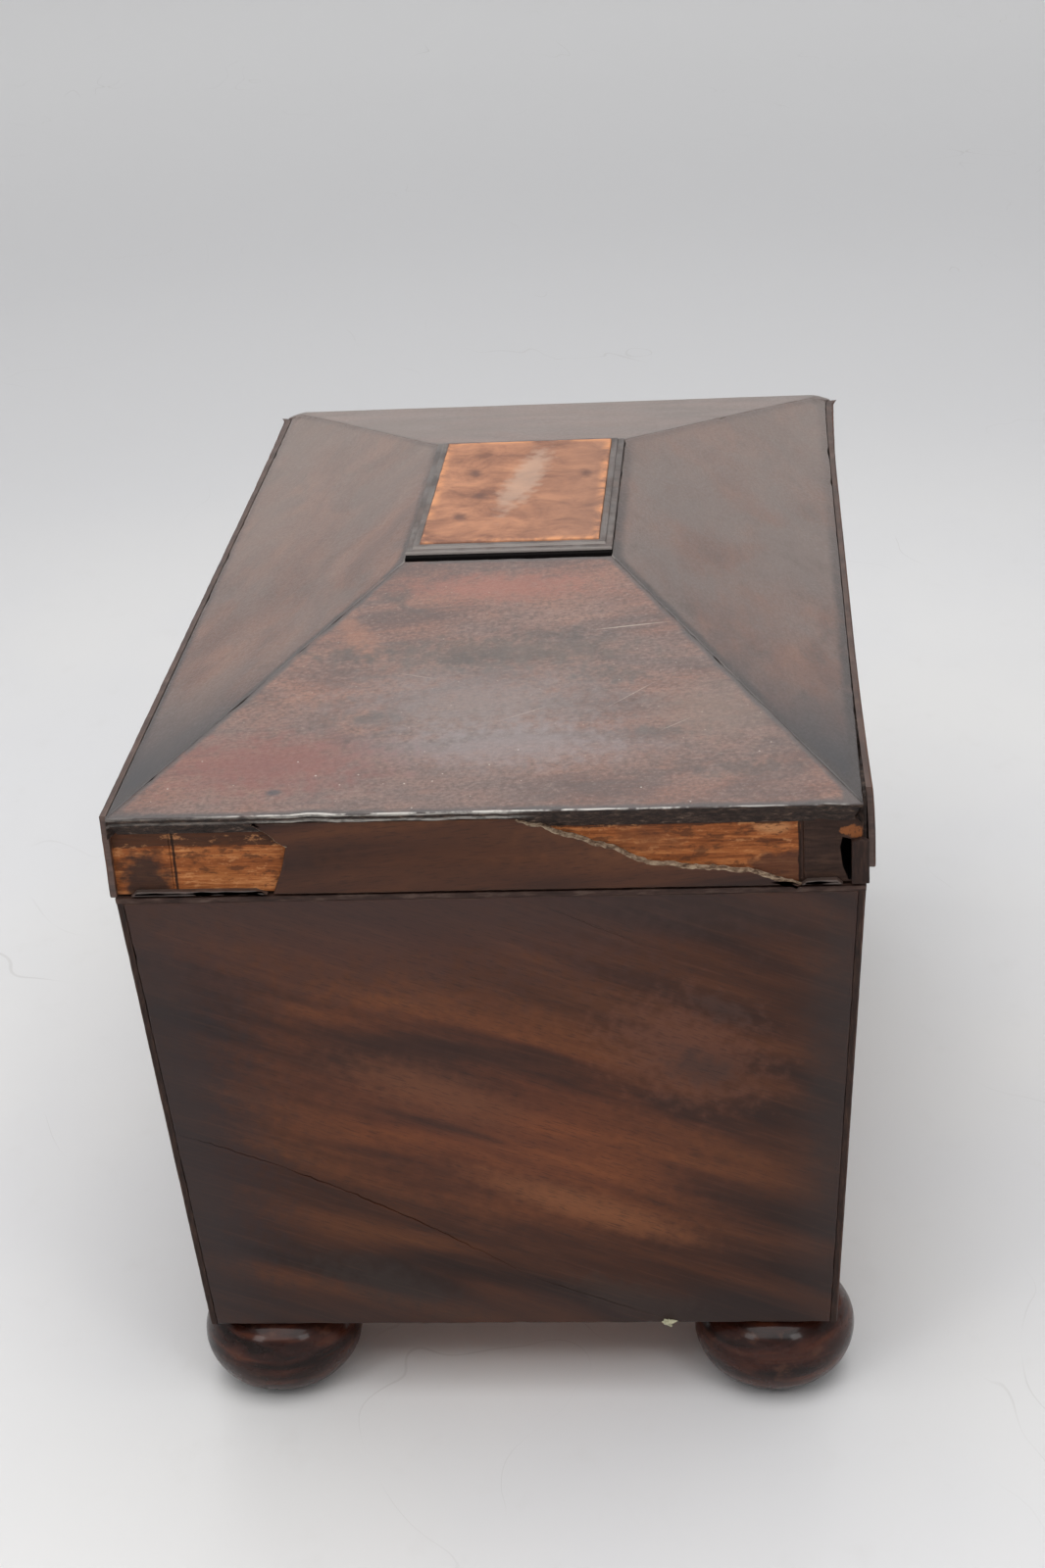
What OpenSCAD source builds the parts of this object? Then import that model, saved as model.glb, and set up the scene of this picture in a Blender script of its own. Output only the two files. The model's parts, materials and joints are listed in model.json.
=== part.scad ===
// Regency tea caddy of sarcophagus form: veneered pine case on four turned bun feet,
// hipped lid with a low tablet, two lidded compartments, a box lock and two butt hinges.
// X runs along the length, the front faces -Y and the caddy stands on z = 0.

/* [Case] */
// Length of the case at the seam
case_len = 219.2; // [200:1:260]
// Depth of the case at the seam, front to back
case_depth = 130; // [124:1:160]
// Height of the case from its underside to the seam
case_h = 95.5; // [85:1:115]
// How far each side leans in from the seam down to the underside
taper = 5.5; // [3:0.5:8]
// Thickness of the mahogany veneer
veneer_t = 1.2; // [1:0.1:1.4]
// Thickness of the pine boards of the case and of the lid rim
board_t = 10; // [9.8:0.1:10.4]
// Thickness of the lining boards, whose tops carry the inner lids
lining_t = 3; // [2.5:0.5:4]
// Thickness of the bottom board
bottom_t = 8; // [8:1:10]
// Thickness of the mahogany facing on the top edges of the case
banding_t = 1; // [0.9:0.1:1.2]
// Thickness of the partition between the two compartments
partition_t = 5; // [5:0.5:8]
// Thickness of the metal foil that lines the compartments
foil_t = 0.4; // [0.3:0.1:0.6]

/* [Feet] */
// Height of the bun feet
foot_h = 18; // [16:1:22]
// Largest radius of a foot
foot_r = 15.3; // [14:0.1:17]
// Distance from a foot's centre in from the edge of the case's underside
foot_inset = 11.7; // [11:0.1:14]
// Radius of the spigot that is glued into the bottom board
spigot_r = 4; // [3:0.5:5]
// Length of the spigot
spigot_len = 6.5; // [4:0.5:7]

/* [Lid] */
// Gap between the case and the closed lid
seam_gap = 0.6; // [0.4:0.1:0.8]
// Height of the rim, from its underside to the lower edge of the slopes
rim_h = 15.8; // [15.4:0.1:18]
// How much longer the rim is than the case
rim_over_len = 1.2; // [0.8:0.1:1.8]
// How much deeper the rim is than the case
rim_over_depth = 1.4; // [1:0.1:1.8]
// How much longer the lower edge of the slopes is than the rim
brow_over = 2; // [1.6:0.1:3.6]
// Rise of the slopes
slope_rise = 16; // [14:0.5:18]
// Thickness of the slope panels, measured straight down
slope_t = 4.1; // [3.5:0.1:4.2]
// Length of the flat top
top_len = 69; // [66:1:74]
// Thickness of the panel that closes the underside of the lid
lid_lining_t = 2.4; // [2:0.1:2.6]
// How far the loose end of the front rim veneer has sprung away
spring_out = 1.1; // [0:0.1:1.4]

/* [Tablet] */
// Length of the raised block on the flat top
tablet_len = 59.5; // [56:0.5:60]
// Width of the stepped moulding round the block
moulding_w = 2.6; // [2:0.1:4]
// Height of the block above the flat top
tablet_rise = 2; // [1.6:0.1:3]

/* [Inner lids] */
// Thickness of an inner lid
inner_t = 3.5; // [3.2:0.1:3.6]
// How far the ledge that carries the inner lids lies below the seam
ledge_drop = 5; // [4.9:0.1:5.2]
// Clearance round an inner lid
inner_gap = 0.4; // [0.3:0.05:0.5]
// Radius of an inner lid's pivot pins
pivot_r = 0.9; // [0.7:0.1:1]

/* [Hinges and lock] */
// Length of a hinge
hinge_w = 30; // [26:1:36]
// Distance of each hinge's middle from the middle of the caddy
hinge_x = 62; // [50:1:75]
// Distance of the hinge axis behind the back of the case
hinge_out = 1.3; // [1.2:0.1:1.4]
// Radius of the hinge knuckles
knuckle_r = 1.9; // [1.8:0.1:2]
// Radius of the hinge pins
hinge_pin_r = 0.9; // [0.8:0.1:1]
// Running clearance of the pins and of the loose knuckle
running = 0.05; // [0.03:0.01:0.08]
// Travel of the lock bolt
bolt_travel = 5; // [4.5:0.1:5]

/* [Hidden] */
$fn = 48;
big = 300;
eps = 0.01;

mahogany = [0.26, 0.13, 0.1];
dark_mahogany = [0.17, 0.09, 0.07];
bare_mahogany = [0.78, 0.5, 0.36];
pine = [0.72, 0.42, 0.24];
brass = [0.72, 0.58, 0.3];
foil_grey = [0.55, 0.55, 0.53];
bone = [0.86, 0.8, 0.66];

// Levels
case_z = foot_h;
floor_z = case_z + bottom_t;
seam_z = case_z + case_h;
edge_z = seam_z - banding_t;
ledge_z = seam_z - ledge_drop;
rim_z = seam_z + seam_gap;
brow_z = rim_z + rim_h;
top_z = brow_z + slope_rise;

// Layers of the case wall, measured straight in from the outside
core_in = veneer_t;
wall_in = core_in + board_t;
room_in = wall_in + lining_t;
foil_in = room_in + foil_t;

// Lid plan sizes; one ratio keeps the mitres straight through the middle
rim_len = case_len + rim_over_len;
rim_depth = case_depth + rim_over_depth;
slope_len = rim_len + brow_over;
core_len = rim_len - 2 * veneer_t;
core_depth = rim_depth - 2 * veneer_t;
slope_ratio = core_depth / slope_len;
cavity_len = core_len - 2 * board_t;
cavity_depth = core_depth - 2 * board_t;
top_depth = top_len * slope_ratio;

// Levels of the tablet: its thin plate is sunk into the flat top
plate_z = [top_z - 1.5, top_z + 0.3];
moulding_z = [plate_z[1] + 0.8, plate_z[1] + 1.4];
tablet_half = [tablet_len / 2, top_depth / 2 - moulding_w];

// Hinge axis, in the middle of the seam gap and behind the case
hinge_y = case_depth / 2 + hinge_out;
hinge_z = seam_z + seam_gap / 2;
leaf_t = 0.8;
leaf_reach = 10;
leaf_inner_y = hinge_y - leaf_reach;
knuckle_room = knuckle_r + 0.3;
knuckle_gap = 0.2;

// Lock box, let into the front board from its top edge
lock_half = 20;
lock_cover = 3.1;
lock_t = 7.6;
lock_front_y = lock_cover - case_depth / 2;
lock_back_y = lock_front_y + lock_t;
lock_wall = 1.2;
cap_t = 1.1;
selvedge_half = 25;
selvedge_t = 1.5;
lock_h = 27;
key_z = seam_z - 19;
loop_x = 6;
loop_t = 1.8;
loop_y = [lock_front_y + 1.7, lock_back_y - 1.7];
loop_leg = 1;
loop_bottom_z = seam_z - 10;
loop_room = 0.4;
bolt_y = [loop_y[0] + 1.2, loop_y[1] - 1.2];
bolt_z = [seam_z - 16, seam_z - 10.8];
tongue_z = [seam_z - 8.2, seam_z - 5];
drill_pin_r = 0.8;
drill_pin_len = 7.2;

// Keyhole, and the larger one of the same form that its plate fills:
// radius of the round part, then width and length of the slot below its centre
keyhole_size = [1.9, 1.6, 5];
key_plate_size = [3.4, 4, 6.6];
key_plate_proud = 0.25;

// Room above the spigots of the feet
spigot_room = 0.3;

// Small screws
screw_r = 0.9;
screw_head_r = 1.6;
screw_head_h = 0.8;
screw_len = 6;
leaf_screw_x = [-9, 0, 9];
leaf_screw_y = hinge_y - 6.5;
selvedge_screw_x = 22.6;
selvedge_y = (lock_front_y + lock_back_y) / 2;

// Inner lids: their back edge is a half round about the pivot axis
inner_lift = 0.1;
back_gap = 0.3;
pivot_z = ledge_z + inner_lift + inner_t / 2;
pivot_y = case_depth / 2 - wall_in - lean(pivot_z) - back_gap - inner_t / 2;
inner_x = [partition_t / 2 + inner_gap, case_len / 2 - wall_in - lean(ledge_z) - inner_gap];
inner_front_y = -(case_depth / 2 - wall_in - lean(ledge_z) - inner_gap);
inner_mid_x = (inner_x[0] + inner_x[1]) / 2;
knob_h = 10.3;
knob_stem_r = 1.5;

// Lean of the case wall at a height: how far it has moved in since the seam
function lean(z) = taper * (seam_z - z) / case_h;
function half_len(z, inset) = case_len / 2 - inset - lean(z);
function half_depth(z, inset) = case_depth / 2 - inset - lean(z);

// ---- Building blocks ----

// Extrudes an outline drawn in X and Z along the whole depth
module along_y() { rotate([90, 0, 0]) linear_extrude(big, center = true) children(); }

// Extrudes an outline drawn in Y and Z along the whole length
module along_x() { rotate([90, 0, 90]) linear_extrude(big, center = true) children(); }

// A box between two corners
module box(low, high) { translate(low) cube(high - low); }

// A wall of a tapering box, cut square to one axis: its outline between two half sizes
module wall_outline(side, out0, in0, out1, in1, z0, z1) {
  polygon([[side * out0, z0], [side * in0, z0], [side * in1, z1], [side * out1, z1]]);
}

// Four sloping sides between two levels, from half sizes at the bottom and at the top
module tapered_block(low, high, z0, z1) {
  intersection() {
    along_y() polygon([[-low[0], z0], [low[0], z0], [high[0], z1], [-high[0], z1]]);
    along_x() polygon([[-low[1], z0], [low[1], z0], [high[1], z1], [-high[1], z1]]);
  }
}

// The inside of the case at a given inset
module case_block(inset_x, inset_y, z0, z1) {
  tapered_block([half_len(z0, inset_x), half_depth(z0, inset_y)],
                [half_len(z1, inset_x), half_depth(z1, inset_y)], z0, z1);
}

// A layer of the front (side = -1) or back wall, whose ends stop at an inset
module long_wall(side, outer, inner, ends, z0, z1) {
  intersection() {
    case_block(ends, 0, z0, z1);
    along_x() wall_outline(side, half_depth(z0, outer), half_depth(z0, inner),
                           half_depth(z1, outer), half_depth(z1, inner), z0, z1);
  }
}

// A layer of the left (side = -1) or right wall, whose edges stop at an inset
module end_wall(side, outer, inner, edges, z0, z1) {
  intersection() {
    case_block(0, edges, z0, z1);
    along_y() wall_outline(side, half_len(z0, outer), half_len(z0, inner),
                           half_len(z1, outer), half_len(z1, inner), z0, z1);
  }
}

// A countersunk screw with a slotted head; its head is flush with z = 0 and it points down
module screw() {
  slot_half = 0.2;
  slot_deep = 0.3;
  difference() {
    union() {
      translate([0, 0, -screw_head_h]) cylinder(h = screw_head_h, r1 = screw_r, r2 = screw_head_r);
      translate([0, 0, -screw_len]) cylinder(h = screw_len - screw_head_h, r = screw_r);
    }
    box([-screw_head_r, -slot_half, -slot_deep], [screw_head_r, slot_half, eps]);
  }
}

// The room that a screw takes, without its slot
module screw_room() {
  translate([0, 0, -screw_head_h]) cylinder(h = screw_head_h, r1 = screw_r, r2 = screw_head_r);
  translate([0, 0, -screw_len]) cylinder(h = screw_len, r = screw_r);
}

// Puts its children at the six places of the screws in the hinge leaves
module at_leaf_screws() {
  for (side = [-1, 1], x = leaf_screw_x) translate([side * hinge_x + x, leaf_screw_y, 0]) children();
}

// Puts its children at the two places of the screws in the lock's top plate or its strike plate
module at_lock_screws() {
  for (side = [-1, 1]) translate([side * selvedge_screw_x, selvedge_y, 0]) children();
}

// Round room for the knuckles of both hinges
module knuckle_rooms() {
  for (side = [-1, 1]) translate([side * hinge_x, hinge_y, hinge_z]) rotate([0, 90, 0])
    cylinder(h = hinge_w + 2 * knuckle_gap, r = knuckle_room, center = true);
}

// Recesses for the leaves of both hinges, between two levels
module leaf_recesses(z0, z1) {
  for (side = [-1, 1])
    box([side * hinge_x - hinge_w / 2, leaf_inner_y, z0],
        [side * hinge_x + hinge_w / 2, hinge_y + 5, z1]);
}

// A keyhole: a round hole with a slot below it, through the front as far as into the lock
module keyhole(size) {
  into_lock = 0.7;
  slot = [size[1], size[2]];
  translate([0, lock_front_y + lock_wall + into_lock, key_z]) rotate([90, 0, 0]) linear_extrude(board_t) {
    circle(size[0]);
    translate([-slot[0] / 2, -slot[1]]) square(slot);
  }
}

// ---- Case ----

module front_board() {
  color(pine) difference() {
    long_wall(-1, core_in, wall_in, core_in, floor_z, edge_z);
    box([-lock_half, lock_front_y, seam_z - lock_h], [lock_half, lock_back_y, seam_z]);
    box([-selvedge_half, lock_front_y, seam_z - selvedge_t], [selvedge_half, lock_back_y, seam_z]);
    translate([0, 0, seam_z]) at_lock_screws() screw_room();
    keyhole(keyhole_size);
  }
}

module back_board() {
  color(pine) difference() {
    long_wall(1, core_in, wall_in, core_in, floor_z, edge_z);
    translate([0, 0, seam_z]) at_leaf_screws() screw_room();
  }
}

module end_board(side) {
  color(pine) difference() {
    end_wall(side, core_in, wall_in, wall_in, floor_z, edge_z);
    pivot_holes();
  }
}

module left_end_board() { end_board(-1); }
module right_end_board() { end_board(1); }

module bottom_board() {
  color(pine) difference() {
    case_block(core_in, core_in, case_z, floor_z);
    at_feet() cylinder(h = foot_h + spigot_len + spigot_room, r = spigot_r);
  }
}

module front_veneer() {
  color(mahogany) difference() {
    long_wall(-1, 0, core_in, 0, case_z, edge_z);
    keyhole(key_plate_size);
  }
}

module back_veneer() {
  color(mahogany) difference() {
    long_wall(1, 0, core_in, 0, case_z, edge_z);
    knuckle_rooms();
  }
}

module left_end_veneer() { color(mahogany) end_wall(-1, 0, core_in, core_in, case_z, edge_z); }
module right_end_veneer() { color(mahogany) end_wall(1, 0, core_in, core_in, case_z, edge_z); }

// Four facing strips; the long ones run through, as the boards under them do
module top_edge_banding() {
  color(dark_mahogany) difference() {
    union() {
      for (side = [-1, 1]) {
        long_wall(side, 0, wall_in, 0, edge_z, seam_z);
        end_wall(side, 0, wall_in, wall_in + eps, edge_z, seam_z);
      }
    }
    box([-selvedge_half, lock_front_y, edge_z - eps], [selvedge_half, lock_back_y, seam_z + eps]);
    knuckle_rooms();
    leaf_recesses(seam_z - leaf_t, seam_z + eps);
    translate([0, 0, seam_z]) at_leaf_screws() screw_room();
  }
}

module front_lining() { color(mahogany) long_wall(-1, wall_in, room_in, wall_in, floor_z, ledge_z); }
module back_lining() { color(mahogany) long_wall(1, wall_in, room_in, wall_in, floor_z, ledge_z); }
module left_lining() { color(mahogany) end_wall(-1, wall_in, room_in, room_in, floor_z, ledge_z); }
module right_lining() { color(mahogany) end_wall(1, wall_in, room_in, room_in, floor_z, ledge_z); }

module partition_board() {
  color(mahogany) intersection() {
    case_block(room_in, room_in, floor_z, ledge_z);
    box([-partition_t / 2, -case_depth, 0], [partition_t / 2, case_depth, seam_z]);
  }
}

// Cap on the partition, flush with the seam; the inner lids pivot in its sides
module partition_rail() {
  color(dark_mahogany) difference() {
    intersection() {
      case_block(wall_in, wall_in, ledge_z, seam_z);
      box([-partition_t / 2, -case_depth, 0], [partition_t / 2, case_depth, seam_z]);
    }
    pivot_holes();
  }
}

// Thin metal lining on the floor and the four sides of one compartment
module foil_lining(side) {
  half = partition_t / 2;
  color(foil_grey) difference() {
    intersection() {
      case_block(room_in, room_in, floor_z, ledge_z);
      mirror([side < 0 ? 1 : 0, 0, 0]) box([half, -case_depth, 0], [case_len, case_depth, seam_z]);
    }
    intersection() {
      case_block(foil_in, foil_in, floor_z + foil_t, seam_z);
      mirror([side < 0 ? 1 : 0, 0, 0])
        box([half + foil_t, -case_depth, 0], [case_len, case_depth, seam_z]);
    }
  }
}

module left_foil_lining() { foil_lining(-1); }
module right_foil_lining() { foil_lining(1); }

// ---- Feet ----

module at_feet(sides = [-1, 1], fronts = [-1, 1]) {
  for (sx = sides, sy = fronts)
    translate([sx * (half_len(case_z, 0) - foot_inset), sy * (half_depth(case_z, 0) - foot_inset), 0])
      children();
}

// Turned bun: a full lower curve and a tighter upper one that meet at the widest height
module foot() {
  wide_z = 10;
  upper = foot_h - wide_z;
  color(dark_mahogany) union() {
    rotate_extrude($fn = 72) {
      square([foot_r - wide_z, foot_h]);
      square([foot_r - upper, foot_h]);
      intersection() {
        translate([foot_r - wide_z, wide_z]) circle(wide_z);
        square([foot_r, wide_z]);
      }
      intersection() {
        translate([foot_r - upper, wide_z]) circle(upper);
        translate([0, wide_z]) square([foot_r, upper]);
      }
    }
    cylinder(h = foot_h + spigot_len, r = spigot_r);
  }
}

module front_left_foot() { at_feet([-1], [-1]) foot(); }
module front_right_foot() { at_feet([1], [-1]) foot(); }
module back_left_foot() { at_feet([-1], [1]) foot(); }
module back_right_foot() { at_feet([1], [1]) foot(); }

// ---- Lock ----

// Brass box, open at the back, with a top plate that two slots pierce
module lock_case() {
  bottom_z = seam_z - lock_h;
  color(brass) difference() {
    union() {
      box([-lock_half, lock_front_y, bottom_z], [lock_half, lock_back_y, seam_z - selvedge_t]);
      box([-selvedge_half, lock_front_y, seam_z - selvedge_t], [selvedge_half, lock_back_y, seam_z]);
    }
    box([lock_wall - lock_half, lock_front_y + lock_wall, bottom_z + lock_wall],
        [lock_half - lock_wall, lock_back_y + eps, seam_z - selvedge_t]);
    for (side = [-1, 1])
      box([side * loop_x - loop_t / 2 - loop_room, loop_y[0] - loop_room, seam_z - selvedge_t - eps],
          [side * loop_x + loop_t / 2 + loop_room, loop_y[1] + loop_room, seam_z + eps]);
    translate([0, 0, seam_z]) at_lock_screws() screw_room();
    keyhole(keyhole_size);
  }
}

module lock_cap() {
  color(brass) difference() {
    box([lock_wall - lock_half, lock_back_y - cap_t, seam_z - lock_h + lock_wall],
        [lock_half - lock_wall, lock_back_y, seam_z - selvedge_t]);
    drill_pin_body();
  }
}

// Round pin that a hollow key slips over
module drill_pin_body() {
  translate([0, lock_back_y, key_z]) rotate([90, 0, 0]) cylinder(h = drill_pin_len, r = drill_pin_r);
}

module lock_drill_pin() { color(brass) drill_pin_body(); }

// Keyhole plate let into the front veneer and standing a hair proud of it
module keyhole_escutcheon() {
  color(brass) difference() {
    intersection() {
      keyhole(key_plate_size);
      along_x() wall_outline(-1, half_depth(case_z, -key_plate_proud), half_depth(case_z, core_in),
                             half_depth(seam_z, -key_plate_proud), half_depth(seam_z, core_in),
                             case_z, seam_z);
    }
    keyhole(keyhole_size);
  }
}

// Sliding bar with two hooks, drawn unlocked; it moves along +X to lock
module lock_bolt() {
  stem_w = 2.5;
  tongue_len = 5;
  clear = 0.6;
  stem_x = -loop_x - loop_t / 2 - clear - tongue_len - stem_w;
  tail_x = 13;
  key_notch_r = 2.2;
  color(brass) difference() {
    union() {
      box([stem_x, bolt_y[0], bolt_z[0]], [tail_x, bolt_y[1], bolt_z[1]]);
      for (x = [stem_x, stem_x + 2 * loop_x]) {
        box([x, bolt_y[0], bolt_z[0]], [x + stem_w, bolt_y[1], tongue_z[1]]);
        box([x, bolt_y[0], tongue_z[0]], [x + stem_w + tongue_len, bolt_y[1], tongue_z[1]]);
      }
    }
    translate([-bolt_travel / 2, 0, bolt_z[0]]) rotate([90, 0, 0])
      cylinder(h = case_depth, r = key_notch_r);
  }
}

// Open ring of spring strip on the tail of the bolt
module lock_spring() {
  outer_r = 2.7;
  strip_t = 0.35;
  mid_x = 10.4;
  mouth_z = 0.6;
  color("silver") translate([mid_x, bolt_y[1], bolt_z[1] + outer_r]) rotate([90, 0, 0])
    linear_extrude(bolt_y[1] - bolt_y[0]) difference() {
      circle(outer_r);
      circle(outer_r - strip_t);
      translate([-outer_r, mouth_z]) square([outer_r, outer_r]);
    }
}

module case_screws() {
  color(brass) translate([0, 0, seam_z]) {
    at_leaf_screws() screw();
    at_lock_screws() screw();
  }
}

// ---- Hinges ----

// One butt-hinge leaf: a let-in plate and its knuckles, given as ranges along the hinge
module hinge_leaf(side, z0, z1, knuckles, bore) {
  root = 0.5;
  translate([side * hinge_x, 0, 0]) difference() {
    union() {
      difference() {
        box([-hinge_w / 2, leaf_inner_y, z0], [hinge_w / 2, hinge_y, z1]);
        translate([0, hinge_y, hinge_z]) rotate([0, 90, 0])
          cylinder(h = hinge_w + 1, r = knuckle_room, center = true);
      }
      for (k = knuckles) {
        translate([k[0], hinge_y, hinge_z]) rotate([0, 90, 0]) cylinder(h = k[1] - k[0], r = knuckle_r);
        box([k[0], hinge_y - knuckle_room - root, z0], [k[1], hinge_y, z1]);
      }
    }
    translate([0, hinge_y, hinge_z]) rotate([0, 90, 0])
      cylinder(h = hinge_w + 1, r = bore, center = true);
  }
}

module case_leaf(side) {
  third = hinge_w / 6;
  color(brass) difference() {
    hinge_leaf(side, seam_z - leaf_t, seam_z,
               [[-hinge_w / 2, -third], [third, hinge_w / 2]], hinge_pin_r);
    translate([0, 0, seam_z]) at_leaf_screws() screw_room();
  }
}

module lid_leaf(side) {
  third = hinge_w / 6 - knuckle_gap;
  color(brass) difference() {
    hinge_leaf(side, rim_z, rim_z + leaf_t, [[-third, third]], hinge_pin_r + running);
    translate([0, 0, rim_z]) mirror([0, 0, 1]) at_leaf_screws() screw_room();
  }
}

module left_hinge_case_leaf() { case_leaf(-1); }
module right_hinge_case_leaf() { case_leaf(1); }
module left_hinge_lid_leaf() { lid_leaf(-1); }
module right_hinge_lid_leaf() { lid_leaf(1); }

module hinge_pins() {
  color(brass) for (side = [-1, 1])
    translate([side * hinge_x, hinge_y, hinge_z]) rotate([0, 90, 0])
      cylinder(h = hinge_w, r = hinge_pin_r, center = true);
}

// ---- Lid ----

// Outer half sizes of the slopes at their lower edge and round the flat top
brow_half = [slope_len / 2, core_depth / 2];
top_half = [top_len / 2, top_depth / 2];

// Everything below the underside of the slopes
module under_slopes() {
  tapered_block(brow_half, brow_half, rim_z, brow_z - slope_t);
  tapered_block(brow_half, top_half, brow_z - slope_t - eps, top_z - slope_t);
}

// The skin of the four slopes, with the flat top left open
module slope_shell() {
  difference() {
    union() {
      tapered_block(brow_half, brow_half, brow_z - slope_t, brow_z);
      tapered_block(brow_half, top_half, brow_z, top_z);
    }
    tapered_block(brow_half, top_half, brow_z - slope_t, top_z - slope_t);
    box([-top_half[0], -top_half[1], rim_z], [top_half[0], top_half[1], top_z + 1]);
  }
}

// A quarter of the lid, cut along the mitres; turn 0 is the right end and 90 the back
module mitre_quarter(turn) {
  corner = [big, big * slope_ratio];
  outline = turn == 0 ? [[0, 0], [corner[0], -corner[1]], corner]
          : turn == 90 ? [[0, 0], corner, [-corner[0], corner[1]]]
          : turn == 180 ? [[0, 0], [-corner[0], corner[1]], [-corner[0], -corner[1]]]
          : [[0, 0], [-corner[0], -corner[1]], [corner[0], -corner[1]]];
  linear_extrude(big) polygon(outline);
}

module lid_slope(turn) {
  color(mahogany) intersection() {
    slope_shell();
    mitre_quarter(turn);
  }
}

module lid_right_slope() { lid_slope(0); }
module lid_back_slope() { lid_slope(90); }
module lid_left_slope() { lid_slope(180); }
module lid_front_slope() { lid_slope(270); }

// The long rim boards run through, so their end grain shows at both ends of the lid
module long_rim_board(side) {
  y = side < 0 ? [-core_depth / 2, -cavity_depth / 2] : [cavity_depth / 2, core_depth / 2];
  intersection() {
    under_slopes();
    box([-core_len / 2, y[0], rim_z], [core_len / 2, y[1], top_z]);
  }
}

module lid_front_rim_board() {
  color(pine) difference() {
    long_rim_board(-1);
    strike_room();
    translate([0, 0, rim_z]) mirror([0, 0, 1]) at_lock_screws() screw_room();
  }
}

module lid_back_rim_board() {
  color(pine) difference() {
    long_rim_board(1);
    knuckle_rooms();
    leaf_recesses(rim_z - eps, rim_z + leaf_t);
    translate([0, 0, rim_z]) mirror([0, 0, 1]) at_leaf_screws() screw_room();
  }
}

module short_rim_board(side) {
  x = side < 0 ? [-core_len / 2, -cavity_len / 2] : [cavity_len / 2, core_len / 2];
  color(pine) intersection() {
    under_slopes();
    box([x[0], -cavity_depth / 2, rim_z], [x[1], cavity_depth / 2, top_z]);
  }
}

module lid_left_rim_board() { short_rim_board(-1); }
module lid_right_rim_board() { short_rim_board(1); }

// Straight from the right end, then curling away from the board towards its loose left end
module lid_front_rim_veneer() {
  start_x = -34;
  set_back = 4;
  loose_x = set_back - core_len / 2;
  steps = 8;
  face_y = -core_depth / 2;
  curl = [for (i = [0:steps]) let (t = i / steps)
    [start_x + t * (loose_x - start_x), face_y - spring_out * t * t]];
  outline = concat([[rim_len / 2, face_y]], curl,
    [for (i = [steps:-1:0]) curl[i] - [0, veneer_t]], [[rim_len / 2, face_y - veneer_t]]);
  color(mahogany) translate([0, 0, rim_z]) linear_extrude(rim_h) polygon(outline);
}

module lid_back_rim_veneer() {
  color(mahogany) difference() {
    box([-rim_len / 2, core_depth / 2, rim_z], [rim_len / 2, rim_depth / 2, brow_z]);
    knuckle_rooms();
    leaf_recesses(rim_z - eps, rim_z + leaf_t);
  }
}

// Veneer of one end of the rim, cut to an outline drawn in Y and Z above the rim's underside
module end_rim_veneer(side, outline) {
  x = side < 0 ? [-rim_len / 2, -core_len / 2] : [core_len / 2, rim_len / 2];
  intersection() {
    under_slopes();
    box([x[0], -big, rim_z], [x[1], big, top_z]);
    translate([0, 0, rim_z]) along_x() polygon(outline);
  }
}

// What is left of this veneer: a long torn piece and a scrap at the front corner
module lid_left_rim_veneer() {
  edge = core_depth / 2;
  torn_piece = [[37, 0], [35, 5], [34, 9], [38, 12], [40, rim_h], [-6, rim_h], [-8, 13], [-18, 9.5],
                [-28, 5], [-45, 3], [-54, 0]];
  scrap = [[-edge, 0], [-62, 0], [-62, 8], [-edge, 8]];
  color(mahogany) {
    end_rim_veneer(-1, torn_piece);
    end_rim_veneer(-1, scrap);
  }
}

module lid_right_rim_veneer() {
  edge = core_depth / 2;
  color(mahogany) end_rim_veneer(1, [[-edge, 0], [edge, 0], [edge, rim_h], [-edge, rim_h]]);
}

// Board that closes the flat top, under the tablet
module lid_top_board() {
  color(dark_mahogany)
    box([-top_half[0], -top_half[1], top_z - slope_t], [top_half[0], top_half[1], plate_z[0]]);
}

// Thin plate under the tablet; a narrow joint stays open round its ends
module tablet_fillet() {
  open_joint = 1;
  color(dark_mahogany)
    box([open_joint - top_half[0], -top_half[1], plate_z[0]],
        [top_half[0] - open_joint, top_half[1], plate_z[1]]);
}

// Stepped moulding round the block
module tablet_moulding() {
  step = [moulding_w / 2, moulding_w / 2];
  low = tablet_half + 2 * step;
  high = tablet_half + step;
  color(dark_mahogany) difference() {
    union() {
      box(concat(-low, [plate_z[1]]), concat(low, [moulding_z[0]]));
      box(concat(-high, [plate_z[1]]), concat(high, [moulding_z[1]]));
    }
    box(concat(-tablet_half, [top_z]), concat(tablet_half, [top_z + 2 * tablet_rise]));
  }
}

module tablet_block() {
  color(bare_mahogany)
    box(concat(-tablet_half, [plate_z[1]]), concat(tablet_half, [top_z + tablet_rise]));
}

module lid_lining_panel() {
  panel_z = brow_z - slope_t;
  color(mahogany)
    box([-cavity_len / 2, -cavity_depth / 2, panel_z],
        [cavity_len / 2, cavity_depth / 2, panel_z + lid_lining_t]);
}

// ---- Strike plate ----

strike_half = [26, 4];
strike_t = 1;

module strike_room() {
  box([-strike_half[0], selvedge_y - strike_half[1], rim_z - eps],
      [strike_half[0], selvedge_y + strike_half[1], rim_z + strike_t]);
}

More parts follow.
